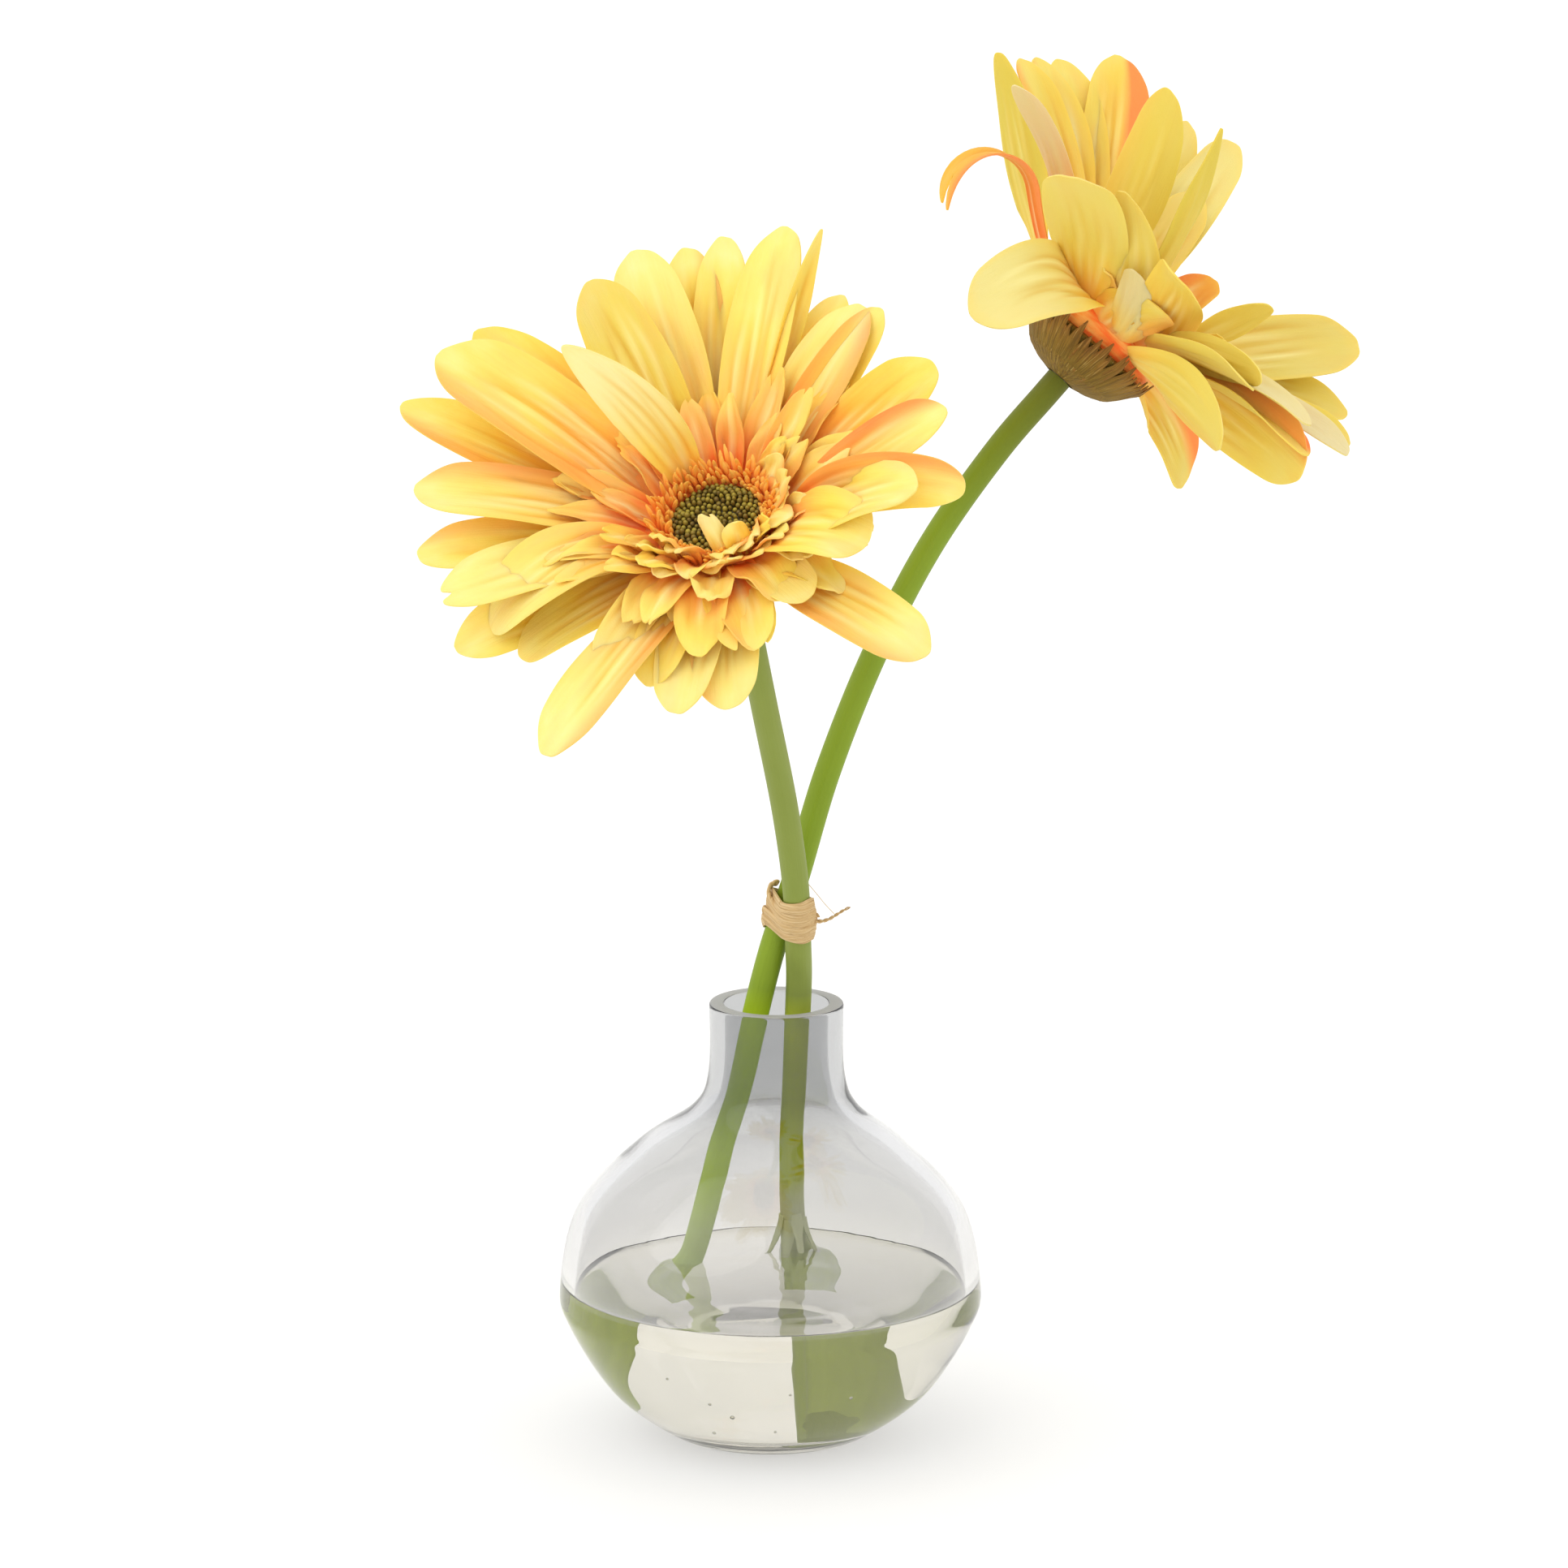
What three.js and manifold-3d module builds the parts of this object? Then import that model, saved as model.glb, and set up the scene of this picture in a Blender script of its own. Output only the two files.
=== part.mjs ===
import * as THREE from 'three';
import { mergeVertices } from 'three/addons/utils/BufferGeometryUtils.js';
import Module from 'manifold-3d';

// Two fabric gerberas in a small round glass vase of water, tied together with raffia.
// Millimetres, +Z up, +X to the right, +Y to the back. The origin is the middle of the vase's foot.

const wasm = await Module();
wasm.setup();

const GAP = 0.3;

// Vase and water
const VASE_SIDES = 28;
const VASE_WALL = 3.2;
const VASE_FLOOR = 6;
const NECK_SHIFT = 1.3;
const NECK_SHIFT_FROM = 58;
const NECK_SHIFT_TO = 76;
const WATER_LEVEL = 33;
const FOOT_RADIUS = 17.6;
const VASE_OUTLINE = [
  [FOOT_RADIUS, 0], [23.7, 2.3], [34.5, 11], [43.2, 25], [44.7, 33], [41, 49],
  [28.9, 62.5], [17.8, 71], [14.4, 79], [14.2, 94],
];
const OUTLINE_STEPS = 15;

// Stems
const STEM_SIDES = 8;
const STEM_RADIUS = 2.75;
const STEM_STEPS = 22;
const STRAIGHT_FROM = 23.5;
const SPLAY_FROM = 38;
const SPLAY_FULL = 26;
const SPLAY_TIP = 0.35;
const SPLAY_TOES = 0.1;

// Flower heads, each in its own frame: +Z along the axis, origin at the middle of the disc
const DISC_RADIUS = 9.3;
const DISC_FLOOR = -1.9;
const FRINGE_INNER = 9.6;
const FRINGE_OUTER = 12.2;
const HUB_RADIUS = 13.8;
const HUB_TOP = -2.2;
const HUB_BOTTOM = -8.8;
const HUB_STALK_RADIUS = 8.5;
const HUB_STALK_BOTTOM = -14.5;
const CALYX_BOTTOM = -18.6;
const HUB_SIDES = 20;
const FRINGE_SIDES = 30;
const FRINGE_OUTER_TALL = 5.2;
const FRINGE_INNER_TALL = 3.4;
const FRINGE_FOOT = HUB_TOP + GAP;
const DISC_SIDES = 24;
const DISC_RELIEF = 0.35;
const CALYX_SIDES = 24;
const CALYX_RELIEF = 0.3;
const CALYX_TIP = 0.5;
const PETAL_THICKNESS = 0.7;
const FLAT_ROOT_RADIUS = 9;
const STEEP_ROOT_RADIUS = 12.9;
const RAY_STEPS = 4;
const RAY_LANES = 2;
const FLORET_STEPS = 3;
const FLORET_LANES = 1;

const deg = THREE.MathUtils.degToRad;

// Small geometry helpers

// One closed mesh from a stack of rings with the same number of points. The two ends are
// capped by a fan round the ring's middle, or the last ring joins the first one.
function loft(rings, joined = false) {
  const count = rings[0].length;
  const points = rings.flat();
  const faces = [];
  const last = joined ? rings.length : rings.length - 1;
  for (let i = 0; i < last; i += 1) {
    const low = i * count;
    const high = ((i + 1) % rings.length) * count;
    for (let j = 0; j < count; j += 1) {
      const k = (j + 1) % count;
      faces.push([low + j, low + k, high + k], [low + j, high + k, high + j]);
    }
  }
  if (!joined) {
    const top = (rings.length - 1) * count;
    const middleOf = (ring) => ring.reduce((sum, p) => sum.add(p), new THREE.Vector3())
      .multiplyScalar(1 / count);
    points.push(middleOf(rings[0]), middleOf(rings[rings.length - 1]));
    for (let j = 0; j < count; j += 1) {
      const k = (j + 1) % count;
      faces.push([points.length - 2, k, j], [points.length - 1, top + j, top + k]);
    }
  }
  return geometryOf(points, faces);
}

function geometryOf(points, faces) {
  const geometry = new THREE.BufferGeometry();
  const position = new Float32Array(points.length * 3);
  points.forEach((p, i) => p.toArray(position, i * 3));
  geometry.setAttribute('position', new THREE.BufferAttribute(position, 3));
  geometry.setIndex(faces.flat());
  return geometry;
}

function solidOf(geometry) {
  const merged = mergeVertices(geometry, 1e-4);
  const mesh = new wasm.Mesh({
    numProp: 3,
    vertProperties: merged.attributes.position.array,
    triVerts: new Uint32Array(merged.index.array),
  });
  return new wasm.Manifold(mesh);
}

// The outer skin of a joined solid, without the small hollows that crossing petals seal
function geometryFrom(solid) {
  const { vertProperties, triVerts } = solid.getMesh();
  const owner = Array.from({ length: vertProperties.length / 3 }, (_, i) => i);
  const rootOf = (i) => {
    while (owner[i] !== i) {
      owner[i] = owner[owner[i]];
      i = owner[i];
    }
    return i;
  };
  for (let i = 0; i < triVerts.length; i += 3) {
    owner[rootOf(triVerts[i])] = rootOf(triVerts[i + 1]);
    owner[rootOf(triVerts[i + 1])] = rootOf(triVerts[i + 2]);
  }
  const shells = new Map();
  for (let i = 0; i < triVerts.length; i += 3) {
    const root = rootOf(triVerts[i]);
    shells.set(root, [...(shells.get(root) ?? []), triVerts[i], triVerts[i + 1], triVerts[i + 2]]);
  }
  const skin = [...shells.values()].reduce((a, b) => (a.length > b.length ? a : b));
  const geometry = new THREE.BufferGeometry();
  geometry.setAttribute('position', new THREE.BufferAttribute(vertProperties, 3));
  geometry.setIndex(skin);
  geometry.computeVertexNormals();
  return geometry;
}

function joinAll(solids) {
  return solids.reduce((sum, solid) => sum.add(solid));
}

// Rings of a turned shape: one for each [radius, height], with a radius or height of each
// point that may depend on the angle.
function turned(profile, sides, shape = (r, z) => [r, z]) {
  return profile.map(([r, z], row) => {
    const ring = [];
    for (let j = 0; j < sides; j += 1) {
      const angle = (2 * Math.PI * j) / sides;
      const [radius, height] = shape(r, z, angle, row);
      ring.push(new THREE.Vector3(radius * Math.cos(angle), radius * Math.sin(angle), height));
    }
    return ring;
  });
}

function smoothstep(x, from, to) {
  return THREE.MathUtils.smoothstep(x, from, to);
}

// Vase: one thick glass wall, turned, with its neck set a little to one side
function outerOutline() {
  const curve = new THREE.SplineCurve(VASE_OUTLINE.map(([r, z]) => new THREE.Vector2(r, z)));
  return curve.getPoints(OUTLINE_STEPS).map((p, i) => {
    const along = curve.getTangent(i / OUTLINE_STEPS);
    return { r: p.x, z: p.y, inR: -along.y, inZ: along.x };
  });
}

function innerOutline(clearance) {
  const depth = VASE_WALL + clearance;
  const inner = outerOutline()
    .map((p) => [p.r + depth * p.inR, p.z + depth * p.inZ])
    .filter(([, z]) => z > VASE_FLOOR + clearance + 1);
  const footRadius = inner[0][0] - 6;
  return [[footRadius, VASE_FLOOR + clearance], ...inner];
}

function neckOffset(ring) {
  ring.forEach((p) => {
    p.x += NECK_SHIFT * smoothstep(p.z, NECK_SHIFT_FROM, NECK_SHIFT_TO);
  });
  return ring;
}

function vaseGeometry() {
  const outer = outerOutline().map((p) => [p.r, p.z]);
  const rimHeight = outer[outer.length - 1][1];
  const inner = innerOutline(0).filter(([, z]) => z < rimHeight - 1);
  inner.push([inner[inner.length - 1][0], rimHeight]);
  const profile = [...outer, ...inner.reverse()];
  return loft(turned(profile, VASE_SIDES).map(neckOffset));
}

// The inner radius at a height, for the water's surface
function innerRadiusAt(height, outline) {
  for (let i = 1; i < outline.length; i += 1) {
    const [r0, z0] = outline[i - 1];
    const [r1, z1] = outline[i];
    if (z1 >= height) {
      return r0 + ((r1 - r0) * (height - z0)) / (z1 - z0);
    }
  }
  return outline[outline.length - 1][0];
}

function waterSolid(stemSolids) {
  const outline = innerOutline(GAP);
  const below = outline.filter(([, z]) => z < WATER_LEVEL - 1);
  const profile = [...below, [innerRadiusAt(WATER_LEVEL, outline), WATER_LEVEL]];
  return stemSolids.reduce((water, stem) => water.subtract(stem), solidOf(loft(turned(profile, VASE_SIDES))));
}

// Stems: each a round tube along a hand-set route, from its cut end in the water up to its
// calyx. Under the water the end is splayed into toes, so it is wider there.
const STEM_A = {
  head: () => HEAD_A,
  splay: 2.2,
  route: [
    [8.4, 17, 10], [9, 23.2, 16.5], [8, 28.8, 25], [5.4, 30.8, 33], [4.8, 28, 40], [4.8, 20.6, 52],
    [4.9, 15.2, 60], [5, 10.8, 67], [5.2, 7.2, 73.5], [5.4, 5, 79.5], [5.7, 3, 88], [6.1, 0.3, 99.6],
    [5.9, -3.6, 107], [5.3, -9, 121], [3.2, -17.5, 139], [-1.1, -33, 164],
  ],
};
const STEM_B = {
  head: () => HEAD_B,
  splay: 1.75,
  route: [
    [-19, 10.3, 9.6], [-23, 15.2, 17], [-20.8, 18.3, 27], [-17.2, 17, 34], [-14.3, 12.8, 44],
    [-11.2, 7.8, 57], [-9, 4.8, 66], [-7.3, 2.9, 73], [-5.9, 2, 79], [-4.4, 2.2, 87],
    [-0.9, 1.4, 105], [5.6, -0.4, 121], [12.1, -1, 144], [21.3, -1.4, 168], [33.9, -2, 193],
    [47.6, -3.4, 213.1],
  ],
};

// The whole route: its hand-set points, then straight into the calyx along the head's axis
function routeOf(stem) {
  const { centre, axis } = stem.head();
  const along = new THREE.Vector3(...axis).normalize();
  const below = (depth) => new THREE.Vector3(...centre).addScaledVector(along, -depth).toArray();
  return [...stem.route, below(STRAIGHT_FROM), below(GAP - CALYX_BOTTOM)];
}

// A closed tube along a route; radiusAt takes the share of the way, the middle and the angle
function tube(route, radiusAt, sides, steps, overrun = 0) {
  const curve = new THREE.CatmullRomCurve3(route.map((p) => new THREE.Vector3(...p)));
  const side = new THREE.Vector3(1, 0, 0);
  const rings = [];
  for (let i = 0; i <= steps; i += 1) {
    const centre = curve.getPointAt(i / steps);
    const along = curve.getTangentAt(i / steps);
    const u = side.clone().addScaledVector(along, -side.dot(along)).normalize();
    const v = along.clone().cross(u);
    const ring = [];
    for (let j = 0; j < sides; j += 1) {
      const angle = (2 * Math.PI * j) / sides;
      const radius = radiusAt(i / steps, centre, angle);
      ring.push(centre.clone()
        .addScaledVector(along, i === 0 ? -overrun : 0)
        .addScaledVector(u, radius * Math.cos(angle))
        .addScaledVector(v, radius * Math.sin(angle)));
    }
    rings.push(ring);
  }
  return loft(rings);
}

function stemGeometry(stem, clearance = 0) {
  const radiusAt = (t, centre, angle) => {
    const splayed = 1 - smoothstep(centre.z, SPLAY_FULL, SPLAY_FROM);
    const drawnIn = SPLAY_TIP * (1 - smoothstep(centre.z, 9, 17));
    const toes = SPLAY_TOES * Math.cos(4 * angle);
    return STEM_RADIUS * (1 + splayed * (stem.splay - 1 + toes - drawnIn)) + clearance;
  };
  return tube(routeOf(stem), radiusAt, STEM_SIDES, STEM_STEPS, clearance);
}

// Raffia: flat strands wound round both stems, with a knot at the side and one loose end
const TIE_LOW = 106;
const TIE_HIGH = 119.5;
const TIE_TILT = 0.22;
const TIE_LEVELS = 8;
const TIE_SIDES = 16;
const TIE_STRAND = 0.9;
const TIE_GROOVE = 0.35;
const TIE_WRAPS = 4;
const TAIL = [
  [7.6, -6.4, 110.6], [10, -7, 110.2], [12.6, -7, 111.2], [15, -6.4, 112.8], [17, -5.6, 114.2],
];
const TAIL_RADIUS = 0.45;

function stemCentreAt(stem, height) {
  const curve = new THREE.CatmullRomCurve3(routeOf(stem).map((p) => new THREE.Vector3(...p)));
  let low = 0;
  let high = 1;
  for (let i = 0; i < 24; i += 1) {
    const middle = (low + high) / 2;
    if (curve.getPointAt(middle).z < height) {
      low = middle;
    } else {
      high = middle;
    }
  }
  return curve.getPointAt(low);
}

function tieSolid(stemSolids) {
  const rings = [];
  for (let i = 0; i <= TIE_LEVELS; i += 1) {
    const share = i / TIE_LEVELS;
    const height = TIE_LOW + (TIE_HIGH - TIE_LOW) * share;
    const centres = [stemCentreAt(STEM_A, height), stemCentreAt(STEM_B, height)];
    const groove = TIE_GROOVE * Math.abs(Math.cos(Math.PI * TIE_WRAPS * share));
    const reach = STEM_RADIUS + GAP + TIE_STRAND - groove;
    const ring = [];
    for (let j = 0; j < TIE_SIDES; j += 1) {
      const angle = (2 * Math.PI * j) / TIE_SIDES;
      const out = new THREE.Vector3(Math.cos(angle), Math.sin(angle), 0);
      const nearest = centres[0].dot(out) > centres[1].dot(out) ? centres[0] : centres[1];
      const point = nearest.clone().addScaledVector(out, reach);
      point.z = height - TIE_TILT * (point.x - centres[1].x - 2);
      ring.push(point);
    }
    rings.push(ring);
  }
  const tail = tube(TAIL, (t) => TAIL_RADIUS * (1.3 - 0.6 * t), 6, 8);
  const knot = new THREE.IcosahedronGeometry(1.5, 1);
  knot.deleteAttribute('normal');
  knot.deleteAttribute('uv');
  knot.scale(1, 0.8, 1.2);
  knot.translate(...TAIL[0]);
  const band = joinAll([solidOf(loft(rings)), solidOf(tail), solidOf(knot)]);
  return stemSolids.reduce((tie, stem) => tie.subtract(stem), band);
}

// Petals. Each is a thin blade along a bent spine, cupped across its width.
// turn: angle round the axis. lift: angle above the disc's plane at the root, and bend: what is
// added to it towards the tip, hook: what the last part adds. roll: turn of the blade about its
// own spine. All angles in degrees. root: height at which it leaves the hub.
const RAY = {
  turn: 0, length: 50, width: 14, lift: 20, bend: -20, hook: 0, roll: 0, twist: 0, cup: 24, root: -6,
  neck: 0.34, widest: 0.55, blunt: 2.6, tipWidth: 0.3,
};

function ray(turn, length, width, lift, bend, more = {}) {
  const rootRadius = lift > 30 ? STEEP_ROOT_RADIUS : FLAT_ROOT_RADIUS;
  return { ...RAY, turn, length, width, lift, bend, rootRadius, ...more };
}

function petalFrames(petal, steps) {
  const frames = [];
  const turn = deg(petal.turn);
  const outward = new THREE.Vector3(Math.cos(turn), Math.sin(turn), 0);
  const across = new THREE.Vector3(-Math.sin(turn), Math.cos(turn), 0);
  const up = new THREE.Vector3(0, 0, 1);
  const place = outward.clone().multiplyScalar(petal.rootRadius).addScaledVector(up, petal.root);
  for (let i = 0; i <= steps; i += 1) {
    const t = i / steps;
    const slope = deg(petal.lift + petal.bend * t + petal.hook * Math.max(0, (t - 0.6) / 0.4));
    const along = outward.clone().multiplyScalar(Math.cos(slope)).addScaledVector(up, Math.sin(slope));
    if (i > 0) {
      const middle = deg(petal.lift + petal.bend * (t - 0.5 / steps)
        + petal.hook * Math.max(0, (t - 0.5 / steps - 0.6) / 0.4));
      place.addScaledVector(outward, (petal.length / steps) * Math.cos(middle));
      place.addScaledVector(up, (petal.length / steps) * Math.sin(middle));
    }
    const normal = along.clone().cross(across);
    const roll = deg(petal.roll + petal.twist * t) * Math.min(1, t * 2.5);
    frames.push({
      t,
      place: place.clone(),
      side: across.clone().multiplyScalar(Math.cos(roll)).addScaledVector(normal, Math.sin(roll)),
      face: normal.clone().multiplyScalar(Math.cos(roll)).addScaledVector(across, -Math.sin(roll)),
    });
  }
  return frames;
}

// Half the blade's width at t: a narrow root, a long full middle and a round tip
function halfWidth(petal, t) {
  const grow = petal.neck + (1 - petal.neck) * Math.sin((Math.PI / 2) * Math.min(1, t / petal.widest));
  const past = Math.max(0, (t - petal.widest) / (1 - petal.widest));
  return (petal.width / 2) * grow * Math.max(petal.tipWidth, Math.sqrt(Math.max(0, 1 - past ** petal.blunt)));
}

function petalSolid(petal, steps, lanes) {
  const bow = deg(petal.cup);
  const points = [];
  [PETAL_THICKNESS / 2, -PETAL_THICKNESS / 2].forEach((level) => {
    petalFrames(petal, steps).forEach((frame) => {
      const half = halfWidth(petal, frame.t);
      for (let j = 0; j <= lanes; j += 1) {
        const s = (2 * j) / lanes - 1;
        points.push(frame.place.clone()
          .addScaledVector(frame.side, (half * Math.sin(bow * s)) / bow)
          .addScaledVector(frame.face, (half * (1 - Math.cos(bow * s))) / bow + level));
      }
    });
  });
  const row = lanes + 1;
  const under = (steps + 1) * row;
  const faces = [];
  const quad = (a, b, c, d) => faces.push([a, b, c], [a, c, d]);
  for (let i = 0; i < steps; i += 1) {
    for (let j = 0; j < lanes; j += 1) {
      const a = i * row + j;
      faces.push([a, a + row, a + row + 1], [a, a + row + 1, a + 1]);
      faces.push([under + a, under + a + row + 1, under + a + row]);
      faces.push([under + a, under + a + 1, under + a + row + 1]);
    }
    const left = i * row;
    const right = i * row + lanes;
    quad(left, under + left, under + left + row, left + row);
    quad(right, right + row, under + right + row, under + right);
  }
  const tip = steps * row;
  for (let j = 0; j < lanes; j += 1) {
    quad(j, j + 1, under + j + 1, under + j);
    quad(tip + j, under + tip + j, under + tip + j + 1, tip + j + 1);
  }
  return solidOf(geometryOf(points, faces));
}

// The hub that every petal of a head is rooted in, a mushroom whose stalk sits in the calyx
function hubSolid() {
  const profile = [
    [HUB_STALK_RADIUS - 1.5, HUB_STALK_BOTTOM], [HUB_STALK_RADIUS, HUB_STALK_BOTTOM + 2],
    [HUB_STALK_RADIUS, HUB_BOTTOM - 0.6], [HUB_RADIUS - 1.2, HUB_BOTTOM],
    [HUB_RADIUS, HUB_BOTTOM + 2], [HUB_RADIUS, HUB_TOP - 1.2], [HUB_RADIUS - 0.8, HUB_TOP],
  ];
  return solidOf(loft(turned(profile, HUB_SIDES)));
}

// Inner florets: short pointed petals in two turns round the disc, steeper towards the middle
function innerFlorets(head) {
  const florets = [];
  const { count, lift, length } = head.florets;
  for (let turn = 0; turn < 2; turn += 1) {
    for (let k = 0; k < count; k += 1) {
      const jitter = Math.sin(k * 2.4 + turn * 1.7);
      const around = (360 * (k + 0.5 * turn)) / count + 6 * jitter;
      const away = Math.cos(deg(around - head.florets.tallSide));
      florets.push(ray(around, length * (1 - 0.3 * turn) * (1 + 0.18 * jitter), 4.6, lift + 16 * turn, -26, {
        rootRadius: 12.9, root: -3.6, neck: 0.8, widest: 0.4, blunt: 1.3, tipWidth: 0.16, cup: 30,
        hook: -20 * away,
      }));
    }
  }
  return florets;
}

function petalsSolid(head) {
  const rays = head.rays.map((petal) => petalSolid(petal, RAY_STEPS, RAY_LANES));
  const florets = innerFlorets(head).map((petal) => petalSolid(petal, FLORET_STEPS, FLORET_LANES));
  return joinAll([hubSolid(), ...rays, ...florets]);
}

// Fringe: the ring of short upright points between the disc and the florets, in two turns
// that stand alternately tall
function fringeGeometry() {
  const rings = [];
  for (let j = 0; j < FRINGE_SIDES; j += 1) {
    const angle = (2 * Math.PI * j) / FRINGE_SIDES;
    const even = j % 2 === 0;
    const outer = FRINGE_OUTER_TALL * (even ? 1 : 0.36);
    const inner = FRINGE_INNER_TALL * (even ? 0.5 : 1);
    const section = [[0, inner], [0.4, 1], [0.62, 1], [1, outer], [1, 0], [0, 0]];
    rings.push(section.map(([across, up]) => {
      const radius = FRINGE_INNER + (FRINGE_OUTER - FRINGE_INNER) * across;
      return new THREE.Vector3(radius * Math.cos(angle), radius * Math.sin(angle), FRINGE_FOOT + up);
    }));
  }
  return loft(rings, true);
}

// Disc: a low dome of packed buds, as a relief of points that alternate along each ring
function discGeometry() {
  const edge = [[DISC_RADIUS, DISC_FLOOR], [DISC_RADIUS, DISC_FLOOR + 0.8]];
  const dome = [[8.3, -0.4], [6.9, -0.2], [5.4, -0.1], [3.8, -0.2], [2.1, -0.4]];
  const relief = (r, z, angle, row) => {
    const side = Math.round((angle * DISC_SIDES) / (2 * Math.PI));
    const raised = (side + row) % 2 === 0 ? DISC_RELIEF : -DISC_RELIEF;
    return [r, row < edge.length ? z : z + raised];
  };
  return loft(turned([...edge, ...dome], DISC_SIDES, relief));
}

// Calyx: a cup of overlapping bracts whose free tips stand out round its rim
function calyxGeometry() {
  const outside = [
    [2.8, CALYX_BOTTOM], [6.5, -17.7], [9.6, -16.3], [11.7, -14], [13.3, -11.8], [14.6, -10.2],
  ];
  const inside = [[13.4, -9.9], [11.8, -12.2], [9.6, -14.4], [6, -15.1]];
  const rim = [outside.length - 1, outside.length];
  const bracts = (r, z, angle, row) => {
    const side = Math.round((angle * CALYX_SIDES) / (2 * Math.PI));
    if (rim.includes(row)) {
      const tip = side % 2 === 0 ? CALYX_TIP : -CALYX_TIP;
      return [r + tip, z + tip];
    }
    const ridge = (side + row) % 2 === 0 ? CALYX_RELIEF : -CALYX_RELIEF;
    return [row > 0 && row < outside.length ? r + ridge : r, z];
  };
  return loft(turned([...outside, ...inside], CALYX_SIDES, bracts));
}

// Head A faces the front and leans up. Turn 0 is to the right, 90 to the top of the picture.
const HEAD_A = {
  name: 'bloom_a',
  centre: [-10.8, -62, 208.9],
  axis: [-0.2185, -0.5796, 0.7851],
  florets: { count: 10, lift: 34, length: 21, tallSide: 90 },
  rays: [
    ray(74, 60, 14, 30, -20, { root: -5 }),
    ray(66, 59, 9, 32, -14, { root: -7, roll: 60, blunt: 1.3 }),
    ray(61, 50, 12, 24, -14, { root: -8 }),
    ray(50, 45, 14, 34, -18, { root: -5 }),
    ray(46, 48, 11, 30, -12, { root: -7, roll: 20 }),
    ray(25, 48, 13.5, 34, -18, { root: -7, roll: -15 }),
    ray(6, 42, 12.5, 36, -18, { root: -5, roll: 15 }),
    ray(352, 50, 14, 62, -78, { root: -4, roll: 15 }),
    ray(350, 38, 14, 42, -40, { root: -6 }),
    ray(328, 33, 15, 40, -34, { root: -4 }),
    ray(316, 48, 15.5, 10, -18, { root: -8 }),
    ray(306, 23, 12, 20, -20, { root: -5 }),
    ray(271, 34, 14.5, 8, -25, { root: -8 }),
    ray(258, 36, 13.5, 8, -20, { root: -7 }),
    ray(281, 26, 14, 25, -50, { root: -5 }),
    ray(256, 18, 11, 25, -55, { root: -4 }),
    ray(248, 31, 12, 15, -35, { root: -6 }),
    ray(232, 32, 9, 25, -45, { root: -6, twist: -50 }),
    ray(238, 56, 14, 15, -20, { root: -8 }),
    ray(204, 37, 15, 25, -30, { root: -5 }),
    ray(211, 39, 14, 15, -30, { root: -7 }),
    ray(200, 49, 13.5, 12, -20, { root: -8, roll: -25 }),
    ray(194, 49, 16, 22, -26, { root: -5 }),
    ray(180, 53, 14.5, 22, -22, { root: -8 }),
    ray(170, 54, 15.5, 28, -24, { root: -5 }),
    ray(154, 64, 14, 26, -12, { root: -8 }),
    ray(144, 62, 17, 34, -20, { root: -5, roll: 10 }),
    ray(134, 61, 16, 32, -18, { root: -7, roll: 10 }),
    ray(130, 44, 14, 58, -24, { root: -5, roll: -40 }),
    ray(113, 57, 14, 32, -20, { root: -8 }),
    ray(102, 54, 16, 34, -18, { root: -5 }),
    ray(93, 59, 13.5, 30, -18, { root: -8, roll: 10 }),
    ray(86, 60, 12.5, 30, -18, { root: -8 }),
  ],
};

// Head B is seen from the side, facing up and to the right. Turn 0 is down to the right,
// 180 up to the left, 270 towards the front.
const HEAD_B = {
  name: 'bloom_b',
  centre: [72.1, 0, 241.2],
  axis: [0.6557, 0.1653, 0.7367],
  florets: { count: 9, lift: 58, length: 17, tallSide: 0 },
  rays: [
    ray(163, 58, 14, 40, -12, { root: -7, roll: 45 }),
    ray(155, 57, 14.5, 43, -10, { root: -6, roll: -40 }),
    ray(148, 60, 15, 48, -10, { root: -6, roll: -40 }),
    ray(139, 63, 15, 52, -10, { root: -7, roll: -45 }),
    ray(129, 59, 14, 55, -10, { root: -6, roll: -55 }),
    ray(245, 57, 14.5, 51, -10, { root: -6 }),
    ray(112, 59, 14, 63, -14, { root: -7 }),
    ray(260, 54, 9, 54, -10, { root: -5, roll: 50, blunt: 1.3 }),
    ray(90, 58, 17, 66, -8, { root: -7, blunt: 5 }),
    ray(70, 48, 15, 58, -10, { root: -5 }),
    ray(237, 43, 18, 38, -45, { root: -5 }),
    ray(252, 37, 12, 39, -20, { root: -4 }),
    ray(240, 44, 17.5, 0, -34, { root: -7, roll: -20 }),
    ray(206, 48, 9.5, 37, -14, { root: -6, roll: 35 }),
    ray(190, 58, 9.5, 72, -24, { root: -6, hook: -150, cup: 40 }),
    ray(290, 22, 9.5, 59, -90, { root: -5 }),
    ray(288, 26, 15, 56, -30, { root: -5 }),
    ray(315, 32, 12, 50, -15, { root: -4, roll: -30 }),
    ray(312, 39, 11.5, 31, -20, { root: -5 }),
    ray(310, 40, 11, 23, -25, { root: -5 }),
    ray(304, 50, 13, 11, -30, { root: -6 }),
    ray(51, 46, 15, 4, -24, { root: -8 }),
    ray(329, 50, 18, 16, -25, { root: -7, roll: -30 }),
    ray(326, 50, 13, 23, -30, { root: -6, roll: 20 }),
    ray(321, 50, 9, 28, -35, { root: -5, roll: 30 }),
    ray(334, 54, 9, 30, -35, { root: -6, roll: 40 }),
    ray(23, 52, 16, 49, -10, { root: -7, roll: 45 }),
    ray(16, 51, 14, 39, -20, { root: -6, roll: 35 }),
    ray(4, 52, 13, 34, -25, { root: -6, roll: 30 }),
    ray(65, 24, 11, 70, -15, { root: -4 }),
    ray(38, 44, 15, 40, -20, { root: -5, roll: 20 }),
    ray(108, 42, 15, 44, -18, { root: -4 }),
    ray(218, 40, 13, 48, -20, { root: -4 }),
  ],
};

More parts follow.
